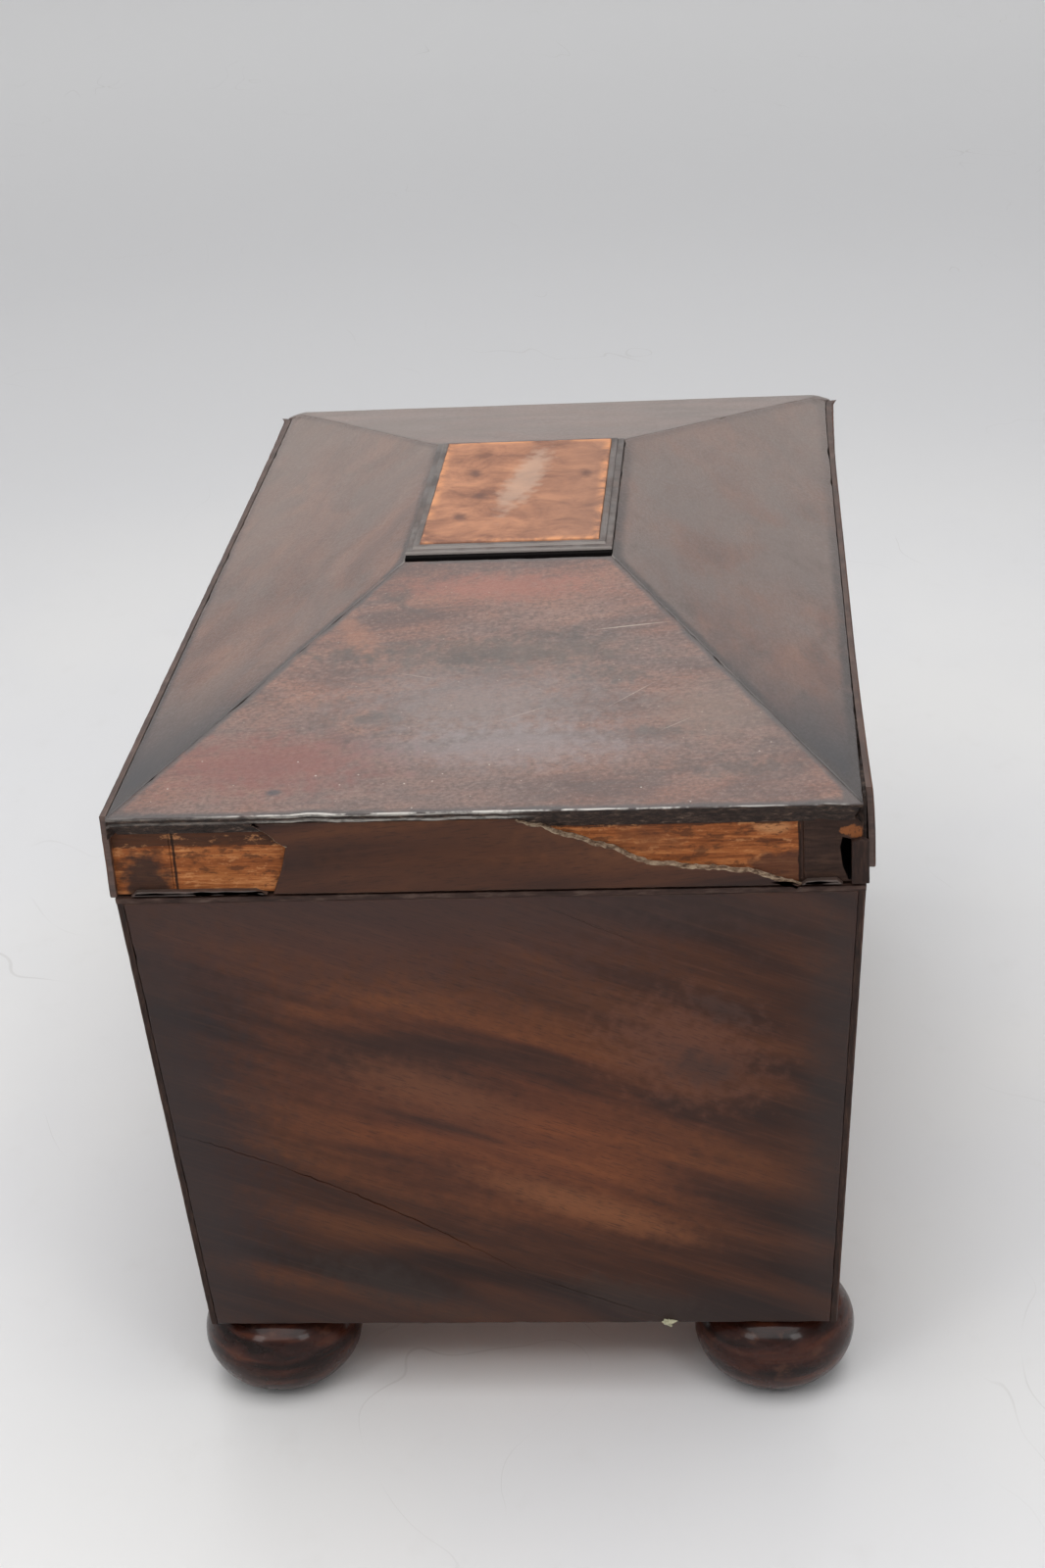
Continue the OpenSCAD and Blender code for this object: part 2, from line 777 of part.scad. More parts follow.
// Plate let into the underside of the rim, with two loops that enter the lock
module strike_plate() {
  color(brass) difference() {
    union() {
      box([-strike_half[0], selvedge_y - strike_half[1], rim_z],
          [strike_half[0], selvedge_y + strike_half[1], rim_z + strike_t]);
      for (side = [-1, 1])
        box([side * loop_x - loop_t / 2, loop_y[0], loop_bottom_z],
            [side * loop_x + loop_t / 2, loop_y[1], rim_z + strike_t]);
    }
    for (side = [-1, 1])
      box([side * loop_x - loop_t, loop_y[0] + loop_leg, loop_bottom_z + loop_leg + 0.1],
          [side * loop_x + loop_t, loop_y[1] - loop_leg, tongue_z[1] + 1]);
    translate([0, 0, rim_z]) mirror([0, 0, 1]) at_lock_screws() screw_room();
  }
}

module lid_screws() {
  color(brass) translate([0, 0, rim_z]) mirror([0, 0, 1]) {
    at_leaf_screws() screw();
    at_lock_screws() screw();
  }
}

// ---- Inner lids ----

// Blind holes for the pivot pins in the end boards and in the partition rail
module pivot_holes() {
  wall_depth = 3;
  rail_depth = 2;
  for (side = [-1, 1]) mirror([side < 0 ? 1 : 0, 0, 0])
    translate([inner_x[0] - inner_gap - rail_depth, pivot_y, pivot_z]) rotate([0, 90, 0]) {
      cylinder(h = rail_depth + eps, r = pivot_r + running);
      translate([0, 0, inner_x[1] - inner_x[0]])
        cylinder(h = rail_depth + wall_depth + 2 * inner_gap, r = pivot_r + running);
    }
}

// The two pins of the right-hand lid, one at each end of its back edge
module pivots() {
  in_board = 4;
  in_rail = 1.7;
  in_wall = 2.4;
  translate([inner_x[0] - inner_gap - in_rail, pivot_y, pivot_z]) rotate([0, 90, 0])
    cylinder(h = in_rail + inner_gap + in_board, r = pivot_r);
  translate([inner_x[1] - in_board, pivot_y, pivot_z]) rotate([0, 90, 0])
    cylinder(h = in_board + inner_gap + in_wall, r = pivot_r);
}

module knob_spigot() {
  floor_t = 0.5;
  translate([inner_mid_x, 0, pivot_z - inner_t / 2 + floor_t]) cylinder(h = inner_t, r = knob_stem_r);
}

module inner_lid_board() {
  difference() {
    union() {
      box([inner_x[0], inner_front_y, pivot_z - inner_t / 2],
          [inner_x[1], pivot_y, pivot_z + inner_t / 2]);
      translate([inner_x[0], pivot_y, pivot_z]) rotate([0, 90, 0])
        cylinder(h = inner_x[1] - inner_x[0], r = inner_t / 2);
    }
    pivots();
    knob_spigot();
  }
}

// Small turned knob: a collar, a waist and a ball
module knob() {
  base_z = pivot_z + inner_t / 2;
  ball_r = 3.2;
  collar_r = 3.6;
  collar_h = 1.2;
  union() {
    translate([inner_mid_x, 0, base_z]) {
      cylinder(h = collar_h, r = collar_r);
      cylinder(h = knob_h - ball_r, r = knob_stem_r);
      translate([0, 0, knob_h - ball_r]) sphere(ball_r);
    }
    knob_spigot();
  }
}

module left_inner_lid_board() { color(mahogany) mirror([1, 0, 0]) inner_lid_board(); }
module left_inner_lid_knob() { color(bone) mirror([1, 0, 0]) knob(); }
module left_inner_lid_pivots() { color(brass) mirror([1, 0, 0]) pivots(); }
module right_inner_lid_board() { color(mahogany) inner_lid_board(); }
module right_inner_lid_knob() { color(bone) knob(); }
module right_inner_lid_pivots() { color(brass) pivots(); }

front_board();
back_board();
left_end_board();
right_end_board();
bottom_board();
front_veneer();
back_veneer();
left_end_veneer();
right_end_veneer();
top_edge_banding();
front_lining();
back_lining();
left_lining();
right_lining();
partition_board();
partition_rail();
left_foil_lining();
right_foil_lining();
front_left_foot();
front_right_foot();
back_left_foot();
back_right_foot();
lock_case();
lock_cap();
lock_drill_pin();
keyhole_escutcheon();
lock_bolt();
lock_spring();
case_screws();
left_hinge_case_leaf();
right_hinge_case_leaf();
hinge_pins();
lid_front_rim_board();
lid_back_rim_board();
lid_left_rim_board();
lid_right_rim_board();
lid_front_rim_veneer();
lid_back_rim_veneer();
lid_left_rim_veneer();
lid_right_rim_veneer();
lid_front_slope();
lid_back_slope();
lid_left_slope();
lid_right_slope();
lid_top_board();
tablet_fillet();
tablet_moulding();
tablet_block();
lid_lining_panel();
strike_plate();
lid_screws();
left_hinge_lid_leaf();
right_hinge_lid_leaf();
left_inner_lid_board();
left_inner_lid_knob();
left_inner_lid_pivots();
right_inner_lid_board();
right_inner_lid_knob();
right_inner_lid_pivots();
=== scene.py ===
import json
import math

import bmesh
import bpy
from mathutils import Matrix, Vector, noise
from mathutils.geometry import delaunay_2d_cdt
from mathutils.kdtree import KDTree

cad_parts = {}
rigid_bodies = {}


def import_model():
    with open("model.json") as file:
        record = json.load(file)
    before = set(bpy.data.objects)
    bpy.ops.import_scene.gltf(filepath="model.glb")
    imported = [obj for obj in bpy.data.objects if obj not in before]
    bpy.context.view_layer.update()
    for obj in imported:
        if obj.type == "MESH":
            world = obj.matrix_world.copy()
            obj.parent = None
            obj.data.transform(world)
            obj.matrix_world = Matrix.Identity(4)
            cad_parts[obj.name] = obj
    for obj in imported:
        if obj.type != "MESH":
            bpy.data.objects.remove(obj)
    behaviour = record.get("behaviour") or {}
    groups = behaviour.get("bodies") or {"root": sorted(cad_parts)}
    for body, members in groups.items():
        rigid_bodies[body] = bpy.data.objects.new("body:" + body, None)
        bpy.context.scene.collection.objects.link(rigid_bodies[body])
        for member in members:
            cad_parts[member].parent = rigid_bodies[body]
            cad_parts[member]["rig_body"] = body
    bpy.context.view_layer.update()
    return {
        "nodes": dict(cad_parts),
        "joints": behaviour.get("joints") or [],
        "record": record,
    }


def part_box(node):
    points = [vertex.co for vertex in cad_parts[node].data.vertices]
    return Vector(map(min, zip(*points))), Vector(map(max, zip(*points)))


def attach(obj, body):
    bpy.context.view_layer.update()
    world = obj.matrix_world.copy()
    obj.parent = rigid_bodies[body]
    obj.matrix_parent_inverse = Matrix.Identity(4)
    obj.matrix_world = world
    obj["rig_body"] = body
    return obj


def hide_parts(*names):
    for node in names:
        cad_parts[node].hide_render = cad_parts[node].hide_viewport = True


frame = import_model()

MM = 0.001
NEAR = 0.01 * MM

# ---- Sizes, read from the CAD nodes ----


def reach(node, z):
    """How far a CAD node reaches from the middle along X and along Y at height z."""
    level = [v.co for v in frame["nodes"][node].data.vertices if abs(v.co.z - z) < NEAR]
    return Vector((max(abs(p.x) for p in level), max(abs(p.y) for p in level)))


CASE_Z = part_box("front_veneer")[0].z
EDGE_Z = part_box("front_veneer")[1].z
SEAM_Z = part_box("partition_rail")[1].z
RIM_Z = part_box("lid_left_rim_board")[0].z
BROW_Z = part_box("lid_right_rim_veneer")[0].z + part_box("lid_front_rim_veneer")[1].z - RIM_Z
TOP_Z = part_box("lid_left_slope")[1].z
SLOPE_T = TOP_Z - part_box("lid_top_board")[0].z
CASE_LOW = reach("front_veneer", CASE_Z)
CASE_HIGH = reach("front_veneer", EDGE_Z)
VENEER_T = CASE_LOW.y - abs(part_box("front_veneer")[1].y)
BROW = reach("lid_left_slope", BROW_Z)
TOP = reach("lid_left_slope", TOP_Z)
CORE = Vector((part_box("lid_right_rim_board")[1].x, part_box("lid_back_rim_board")[1].y))
RIM = Vector((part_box("lid_right_rim_veneer")[1].x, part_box("lid_back_rim_veneer")[1].y))
RIM_BOARD_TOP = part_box("lid_left_rim_board")[1].z

# ---- Node trees ----


def grey(value):
    return (value, value, value, 1)


class Shader:
    """A material of one Principled shader, whose node tree is built by short calls."""

    def __init__(self, name, **uniform):
        self.material = bpy.data.materials.new(name)
        self.material.use_nodes = True
        self.tree = self.material.node_tree
        self.principled = self.tree.nodes["Principled BSDF"]
        self.coordinates = self.add("ShaderNodeTexCoord")
        self.place = self.coordinates.outputs["Object"]
        for socket, value in uniform.items():
            self.principled.inputs[socket.replace("_", " ")].default_value = value

    def add(self, kind, inputs=None, **settings):
        node = self.tree.nodes.new(kind)
        for key, value in settings.items():
            setattr(node, key, value)
        for key, value in (inputs or {}).items():
            self.feed(node.inputs[key], value)
        return node

    def feed(self, socket, value):
        if isinstance(value, bpy.types.NodeSocket):
            self.tree.links.new(value, socket)
        else:
            socket.default_value = value

    def math(self, kind, a, b=0.0):
        return self.add("ShaderNodeMath", {0: a, 1: b}, operation=kind).outputs[0]

    def times(self, a, b):
        return self.math("MULTIPLY", a, b)

    def plus(self, a, b):
        return self.math("ADD", a, b)

    def minus(self, a, b):
        return self.math("SUBTRACT", a, b)

    def blend(self, first, second):
        """The sum of two values, each given with its share."""
        return self.plus(self.times(*first), self.times(*second))

    def axis(self, name):
        """The X, Y or Z of the place on the object."""
        return self.add("ShaderNodeSeparateXYZ", {0: self.place}).outputs[name]

    def grain(self, along, normal, size, seed=0.0):
        """Coordinates counted in `size`: along the grain, across it and into the wood."""
        a, c = Vector(along).normalized(), Vector(normal).normalized()
        turn = Matrix((a, c.cross(a), c)).transposed().to_euler()
        inputs = {"Vector": self.place, "Rotation": turn, "Scale": [s * MM for s in size],
                  "Location": (seed, 0.37 * seed, -0.61 * seed)}
        return self.add("ShaderNodeMapping", inputs, vector_type="TEXTURE").outputs[0]

    def noise(self, vector, detail=3.0, rough=0.5, bend=0.0):
        inputs = {"Vector": vector, "Scale": 1.0, "Detail": detail, "Roughness": rough, "Distortion": bend}
        return self.add("ShaderNodeTexNoise", inputs).outputs["Fac"]

    def level(self, value, low, high, to_low=0.0, to_high=1.0):
        inputs = {"Value": value, "From Min": low, "From Max": high, "To Min": to_low, "To Max": to_high}
        return self.add("ShaderNodeMapRange", inputs, interpolation_type="SMOOTHSTEP").outputs[0]

    def mix(self, share, a, b, blend="MIX"):
        node = self.add("ShaderNodeMix", data_type="RGBA", blend_type=blend)
        for socket, value in zip((node.inputs[0], node.inputs[6], node.inputs[7]), (share, a, b)):
            if isinstance(value, tuple) and len(value) == 3:
                value = (*value, 1)
            self.feed(socket, value)
        return node.outputs[2]

    def lay(self, colour, tint, mask, share):
        """Lays a tint over a colour where the mask is, at most at that share."""
        return self.mix(self.times(mask, share), colour, tint)

    def ramp(self, value, stops):
        node = self.add("ShaderNodeValToRGB", {0: value})
        elements = node.color_ramp.elements
        while len(elements) < len(stops):
            elements.new(0.5)
        for element, (at, colour) in zip(elements, stops):
            element.position = at
            element.color = (*colour, 1)
        return node.outputs[0]

    def blot(self, centre, size, along=(1, 0, 0), normal=(0, 0, 1), edge=0.4, ragged=0.0):
        """1 inside an ellipsoid of half sizes `size`, fading to 0 at its edge."""
        a, c = Vector(along).normalized(), Vector(normal).normalized()
        turn = Matrix((a, c.cross(a), c)).transposed().to_euler()
        inputs = {"Vector": self.place, "Rotation": turn, "Scale": [s * MM for s in size], "Location": centre}
        mapped = self.add("ShaderNodeMapping", inputs, vector_type="TEXTURE").outputs[0]
        away = self.add("ShaderNodeVectorMath", {0: mapped}, operation="LENGTH").outputs["Value"]
        if ragged:
            stray = self.noise(self.grain(along, normal, (2.2, 2.2, 2.2)), 3.0)
            away = self.plus(away, self.times(self.minus(stray, 0.5), ragged))
        return self.level(away, 1.0, 1.0 - edge)

    def rim(self, near, far):
        """1 within `near` millimetres of a plate's edge, fading to 0 at `far`."""
        distance = self.add("ShaderNodeAttribute", attribute_name="rim").outputs["Fac"]
        return self.level(distance, near * MM, far * MM, 1.0, 0.0)

    def faces(self, direction, low=0.5, high=0.8):
        """1 where the surface looks along `direction` or against it."""
        normal = self.coordinates.outputs["Normal"]
        dot = self.add("ShaderNodeVectorMath", {0: normal, 1: Vector(direction)}, operation="DOT_PRODUCT")
        return self.level(self.math("ABSOLUTE", dot.outputs["Value"]), low, high)

    def specks(self, spacing, radius, share):
        """Small round dots, about one to a cell of `spacing`, kept in that share of the cells."""
        cell = self.add("ShaderNodeTexVoronoi", {"Vector": self.place, "Scale": 1 / (spacing * MM)})
        dot = self.level(cell.outputs["Distance"], radius / spacing, 0.4 * radius / spacing)
        lot = self.add("ShaderNodeSeparateColor", {0: cell.outputs["Color"]}).outputs[0]
        return self.times(dot, self.math("LESS_THAN", lot, share))

    def finish(self, colour, roughness=None, height=None, relief=0.1):
        """Feeds the shader; `relief` is the height of the bumps in millimetres."""
        self.feed(self.principled.inputs["Base Color"], colour)
        if roughness is not None:
            self.feed(self.principled.inputs["Roughness"], roughness)
        if height is not None:
            bump = self.add("ShaderNodeBump", {"Height": height, "Distance": relief * MM, "Strength": 1.0})
            self.feed(self.principled.inputs["Normal"], bump.outputs[0])
        return self.material


# ---- Materials ----

X, Y, Z = Vector((1, 0, 0)), Vector((0, 1, 0)), Vector((0, 0, 1))


def tilted(along, up, degrees):
    """A direction turned from `along` towards `up`."""
    turn = math.radians(degrees)
    return Vector(along) * math.cos(turn) + Vector(up) * math.sin(turn)


def flame_mahogany(name, along, normal, seed, light=1.0, light_pool=None, patches=(), gloss=1.0):
    """Veneer with broad, soft streaks, fine grain and darker, dirtier edges, and, where asked, a painted pool
    of light in the middle.
    """
    s = Shader(name, Coat_Weight=0.06 * gloss, Coat_Roughness=0.36, Specular_IOR_Level=0.22 * gloss)
    bend = s.noise(s.grain(along, normal, (70, 34, 60), seed), 2.0)
    broad = s.noise(s.grain(along, normal, (62, 11, 30), seed), 2.5, 0.45, 0.7)
    fine = s.noise(s.grain(along, normal, (26, 2.6, 10), seed), 3.0, 0.55, 0.5)
    cloud = s.noise(s.grain(along, normal, (38, 26, 30), seed + 3), 2.0)
    streak = s.blend((broad, 0.70), (fine, 0.16))
    streak = s.plus(streak, s.times(s.plus(bend, cloud), 0.09))
    colour = s.ramp(streak, [(0.33, (0.026, 0.012, 0.009)), (0.43, (0.052, 0.021, 0.013)),
                             (0.51, (0.098, 0.034, 0.016)), (0.60, (0.160, 0.055, 0.021)),
                             (0.70, (0.23, 0.082, 0.028))])
    dim = (light, light, light)
    # Painted light: a bright pool that lifts the middle of the face.
    if light_pool:
        light_pool_mask = s.blot(*light_pool, along, normal, 1.0, 0.5)
        dim = s.mix(light_pool_mask, (light, 0.92 * light, 0.9 * light), (1.12, 0.95, 0.88))
    colour = s.mix(1.0, colour, dim, "MULTIPLY")
    for centre, size, tint, ragged, way in patches:
        patch = s.blot(centre, size, way or along, normal, 0.9, ragged)
        colour = s.lay(colour, tint, patch, 0.75)
    pores = s.noise(s.grain(along, normal, (2.6, 0.28, 1.0), seed), 2.0, 0.6)
    colour = s.mix(s.level(pores, 0.52, 0.70, 0.0, 0.45), colour, (0.022, 0.012, 0.010))
    hairs = s.noise(s.grain(along, normal, (14, 0.7, 2.0), seed + 1), 3.0, 0.6)
    colour = s.mix(s.level(hairs, 0.50, 0.72, 0.0, 0.14), colour, (0.15, 0.055, 0.028))
    colour = s.mix(s.times(s.rim(2.0, 13.0), 0.42), colour, (0.036, 0.025, 0.023))
    dents = s.specks(13.0, 0.5, 0.45)
    colour = s.lay(colour, (0.17, 0.09, 0.07), dents, 0.3)
    worn = s.times(s.rim(0.1, 0.4), s.level(s.noise(s.grain(along, normal, (5, 5, 5))), 0.5, 0.66))
    colour = s.lay(colour, (0.10, 0.060, 0.042), worn, 0.4)
    rough = s.level(cloud, 0.3, 0.7, 0.42, 0.56)
    waves = s.noise(s.grain(along, normal, (9, 7, 9)), 2.0)
    height = s.plus(s.times(pores, -0.35), s.times(waves, 1.3))
    return s.finish(colour, rough, height, 0.05)


def slope_mahogany(name, along, normal, seed, overlay, grit_and_glint, crest_wear_and_highlight, band, extras):
    """Lid veneer: bleached and hazed varnish over red-brown wood, with stains and dust; its pale crests are
    worn varnish and partly a painted highlight, its pale grains partly painted glints.
    """
    s = Shader(name, Coat_Weight=0.5, Coat_Roughness=0.34, Specular_IOR_Level=0.45)
    broad = s.noise(s.grain(along, normal, (34, 16, 30), seed), 4.0, 0.55, 1.6)
    fine = s.noise(s.grain(along, normal, (20, 1.6, 8), seed), 4.0, 0.6, 0.5)
    streak = s.blend((broad, 0.7), (fine, 0.3))
    colour = s.ramp(streak, [(0.34, (0.082, 0.037, 0.027)), (0.45, (0.13, 0.054, 0.036)),
                             (0.54, (0.190, 0.078, 0.049)), (0.66, (0.26, 0.113, 0.068))])
    cloud = s.noise(s.grain(along, normal, (42, 22, 30), seed + 2), 4.0, 0.55, 0.6)
    patch = s.noise(s.grain(along, normal, (13, 9, 12), seed + 5), 4.0, 0.6, 0.4)
    bloom = s.blend((cloud, 0.7), (patch, 0.3))
    colour = s.mix(s.level(bloom, 0.40, 0.60, 0.0, overlay), colour, (0.17, 0.145, 0.135))
    stains = s.noise(s.grain(along, normal, (14, 9, 12), seed + 7), 5.0, 0.66, 0.8)
    colour = s.mix(s.level(stains, 0.54, 0.70, 0.0, 0.6), colour, (0.060, 0.040, 0.032))
    grime = s.noise(s.grain(along, normal, (0.9, 0.6, 0.8), seed), 5.0, 0.65)
    colour = s.mix(s.level(grime, 0.49, 0.62, 0.0, grit_and_glint), colour, (0.070, 0.042, 0.033))
    # Pale grains: dust, and partly painted glints of the crazed varnish.
    colour = s.mix(s.level(grime, 0.46, 0.34, 0.0, 0.5 * grit_and_glint), colour, (0.34, 0.24, 0.20))
    colour = extras(s, colour)
    edge = s.times(s.rim(0.35 * band, band), s.level(patch, 0.3, 0.5, 0.45, 0.9))
    x = s.axis("X")
    edge = s.times(edge, s.level(x, 70 * MM, -60 * MM, 0.35, 1.0))
    colour = s.mix(edge, colour, (0.060, 0.050, 0.048))
    height_up = s.axis("Z")
    brow = s.level(height_up, BROW_Z + 0.8 * MM, BROW_Z + 0.3 * MM, 0.25, 1.0)
    ends = s.math("MAXIMUM", brow, s.level(height_up, TOP_Z - 0.7 * MM, TOP_Z - 0.2 * MM))
    wear = s.noise(s.grain(along, normal, (8, 8, 8), seed), 4.0, 0.65)
    y = s.axis("Y")
    back = s.level(y, 52 * MM, 36 * MM, 0.12, 1.0)
    handled = s.times(back, s.level(y, -58 * MM, -28 * MM, 0.35, 1.0))
    ends = s.times(ends, handled)
    # The pale crest at the brow and the top: worn varnish, and partly a painted highlight.
    worn = s.times(s.rim(0.1, 0.32), s.times(s.level(wear, 0.44, 0.58), ends))
    colour = s.mix(s.times(worn, crest_wear_and_highlight), colour, (0.68, 0.64, 0.59))
    rough = s.level(s.blend((cloud, 0.5), (grime, 0.5)), 0.38, 0.62, 0.30, 0.52)
    height = s.plus(s.times(grime, 1.2 + 2.0 * grit_and_glint), s.times(patch, 1.6))
    return s.finish(colour, rough, height, 0.08)


def pine(name, chip=None):
    """Old softwood: orange, resinous and streaked, with dark rings on the end grain."""
    s = Shader(name, Specular_IOR_Level=0.25)
    rings = s.noise(s.grain(X, Z, (55, 2.4, 6)), 3.0, 0.55, 0.4)
    fibre = s.noise(s.grain(X, Z, (7, 0.45, 0.8)), 4.0, 0.65)
    streak = s.blend((rings, 0.6), (fibre, 0.4))
    colour = s.ramp(streak, [(0.34, (0.13, 0.042, 0.016)), (0.44, (0.26, 0.088, 0.030)),
                             (0.54, (0.40, 0.145, 0.050)), (0.66, (0.56, 0.25, 0.105))])
    dirt = s.noise(s.grain(X, Z, (16, 4.0, 6), 4.0), 4.0, 0.6)
    colour = s.mix(s.level(dirt, 0.50, 0.68, 0.0, 0.35), colour, (0.07, 0.030, 0.016))
    ends = s.noise(s.grain(Y, X, (5.0, 0.9, 3)), 4.0, 0.6, 0.4)
    dark = s.ramp(ends, [(0.34, (0.022, 0.011, 0.008)), (0.52, (0.038, 0.019, 0.013)),
                         (0.72, (0.066, 0.032, 0.020))])
    dark = s.mix(s.specks(2.4, 0.4, 0.4), dark, (0.24, 0.10, 0.045))
    colour = s.mix(s.faces(X), colour, dark)
    if chip:
        fresh = s.times(s.blot(chip, (2.4, 1.3, 3), Y, X, 0.35, 2.6), s.level(fibre, 0.36, 0.52, 0.3, 0.95))
        colour = s.mix(fresh, colour, (0.25, 0.085, 0.027))
    return s.finish(colour, 0.78, fibre, 0.12)


# Patches of the bare board: (Y, height above the rim's underside), half sizes, edge, raggedness, share, tint
BOARD_LIGHTS = (((-49, 10.6), (4.5, 1.6, 4), 0.8, 0.8, 0.6, (0.60, 0.29, 0.125)),
                ((46, 4.0), (7.0, 2.6, 4), 0.9, 1.1, 0.55, (0.31, 0.104, 0.028)))
BOARD_STAINS = (((-28, 9.0), (10, 4.0, 6), 0.9, 1.4, 0.6, (0.13, 0.045, 0.020)),
                ((59, 2.0), (5.5, 7.5, 6), 0.5, 1.0, 0.9, (0.035, 0.021, 0.017)),
                ((-52, 2.8), (8.0, 4.0, 6), 0.4, 0.9, 0.85, (0.075, 0.030, 0.018)))


def board_patches(s, colour, patches):
    for (y, height), size, edge, ragged, share, tint in patches:
        mask = s.blot((-CORE.x, y * MM, RIM_Z + height * MM), size, Y, X, edge, ragged)
        colour = s.lay(colour, tint, mask, share)
    return colour


def glue_band(s, colour, fibre, z):
    """Old glue along the top of the bare board, reaching lower at the back."""
    line = s.plus(z, s.times(s.minus(fibre, 0.5), 2.2 * MM))
    back = s.level(s.axis("Y"), -4 * MM, 0.0)
    low = s.minus(RIM_Z + 11.4 * MM, s.times(back, 2.2 * MM))
    return s.lay(colour, (0.040, 0.020, 0.013), s.math("GREATER_THAN", line, low), 0.86)


def board_joints(s, colour, z):
    """Joint lines to the two long boards, end grain beyond the front one, and a painted shadow line just
    below the board's top, under the slope.
    """
    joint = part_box("lid_left_rim_board")[1].y - 0.7 * MM
    across = s.math("ABSOLUTE", s.axis("Y"))
    wobble = s.times(s.minus(s.noise(s.grain(Z, X, (3, 3, 3))), 0.5), 0.5 * MM)
    line = s.math("ABSOLUTE", s.minus(s.plus(across, wobble), joint))
    end_grain = s.level(s.plus(s.axis("Y"), wobble), 0.1 * MM - joint, -0.2 * MM - joint)
    colour = s.mix(end_grain, colour, (0.040, 0.020, 0.014))
    colour = s.mix(s.level(line, 0.30 * MM, 0.14 * MM, 0.0, 0.9), colour, (0.012, 0.006, 0.004))
    # Painted shadow: a dark line just below the board's top, where the slope overhangs.
    shadow_line = s.level(z, RIM_BOARD_TOP - 1.5 * MM, RIM_BOARD_TOP - 0.9 * MM)
    return s.mix(shadow_line, colour, (0.006, 0.004, 0.003))


def torn_pine(name):
    """The bare board at the broken end of the lid, with glue, stain and raised fibres."""
    s = Shader(name, Specular_IOR_Level=0.18)
    rings = s.noise(s.grain(Y, X, (40, 1.8, 6), 2.0), 3.0, 0.55, 0.5)
    fibre = s.noise(s.grain(Y, X, (5, 0.4, 0.8), 1.0), 4.0, 0.65)
    colour = s.ramp(s.blend((rings, 0.55), (fibre, 0.45)),
                    [(0.33, (0.085, 0.026, 0.010)), (0.43, (0.20, 0.058, 0.017)),
                     (0.54, (0.33, 0.104, 0.030)), (0.66, (0.52, 0.21, 0.075))])
    colour = board_patches(s, colour, BOARD_LIGHTS)
    z = s.axis("Z")
    colour = glue_band(s, colour, fibre, z)
    spots = s.noise(s.grain(Y, X, (3.4, 1.5, 2), 6.0), 4.0, 0.7)
    colour = s.mix(s.level(spots, 0.50, 0.62, 0.0, 0.75), colour, (0.085, 0.030, 0.013))
    colour = s.mix(s.level(spots, 0.44, 0.34, 0.0, 0.5), colour, (0.60, 0.27, 0.11))
    colour = board_patches(s, colour, BOARD_STAINS)
    colour = board_joints(s, colour, z)
    return s.finish(colour, 0.7, fibre, 0.2)


def rough_edge(name):
    """Dark, dirty and broken board edge with pale bruises."""
    s = Shader(name, Specular_IOR_Level=0.28)
    lumps = s.noise(s.grain(Y, X, (2.0, 0.9, 1.6)), 5.0, 0.72, 0.4)
    colour = s.ramp(lumps, [(0.34, (0.008, 0.005, 0.004)), (0.47, (0.022, 0.013, 0.010)),
                            (0.58, (0.050, 0.030, 0.022)), (0.72, (0.19, 0.13, 0.095))])
    place = s.add("ShaderNodeSeparateXYZ", {0: s.place}).outputs
    stray = s.times(s.minus(s.noise(s.grain(Y, X, (9, 0.5, 2), 3.0)), 0.5), 1.0 * MM)
    height = s.plus(place["Z"], stray)
    y = place["Y"]
    whole = s.times(s.level(y, -10 * MM, -4 * MM, 0.0, 1.0), s.level(y, 40 * MM, 34 * MM, 0.35, 1.0))
    whole = s.times(whole, s.level(lumps, 0.40, 0.55, 0.45, 1.0))
    for drop, wide, share in ((1.7, 0.42, 0.75), (0.35, 0.45, 0.9)):
        away = s.math("ABSOLUTE", s.minus(height, BROW_Z - drop * MM))
        line = s.level(away, wide * MM, 0.35 * wide * MM)
        colour = s.mix(s.times(s.times(line, whole), share), colour, (0.46, 0.43, 0.39))
    return s.finish(colour, 0.55, lumps, 0.35)


def edge_grain(name):
    """Dark sawn edge of a veneer."""
    s = Shader(name, Specular_IOR_Level=0.2)
    lumps = s.noise(s.grain(Z, X, (3.0, 0.6, 0.8)), 4.0, 0.6)
    colour = s.ramp(lumps, [(0.35, (0.018, 0.010, 0.008)), (0.52, (0.030, 0.015, 0.011)),
                            (0.70, (0.052, 0.027, 0.018))])
    return s.finish(colour, 0.6, lumps, 0.15)


def pale_fibre(name):
    """Freshly broken edge of old veneer."""
    s = Shader(name, Specular_IOR_Level=0.3)
    lumps = s.noise(s.grain(Y, X, (1.6, 0.5, 0.8)), 5.0, 0.7)
    colour = s.ramp(lumps, [(0.36, (0.055, 0.030, 0.018)), (0.47, (0.19, 0.125, 0.08)),
                            (0.60, (0.38, 0.29, 0.20))])
    return s.finish(colour, 0.75, lumps, 0.25)


def dark_edge(name, wear_share=0.45, tint=(0.17, 0.14, 0.125), ends=0.0, gloss=0.3):
    """Polished dark mahogany of small mouldings and edge strips, with grey wear."""
    s = Shader(name, Coat_Weight=gloss, Coat_Roughness=0.35, Specular_IOR_Level=gloss + 0.05)
    fibre = s.noise(s.grain(X, Z, (4, 4, 0.9), 4.0), 4.0, 0.6)
    colour = s.ramp(fibre, [(0.35, (0.030, 0.018, 0.015)), (0.52, (0.060, 0.033, 0.026)),
                            (0.70, (0.13, 0.085, 0.068))])
    wear = s.noise(s.grain(X, Z, (7, 7, 2), 9.0), 4.0, 0.6)
    colour = s.mix(s.level(wear, 0.38, 0.60, 0.35 * wear_share, wear_share), colour, tint)
    if ends:
        colour = s.mix(s.times(s.faces(X, 0.2, 0.7), ends), colour, [2.2 * t for t in tint] + [1])
    return s.finish(colour, 0.42, fibre, 0.06)


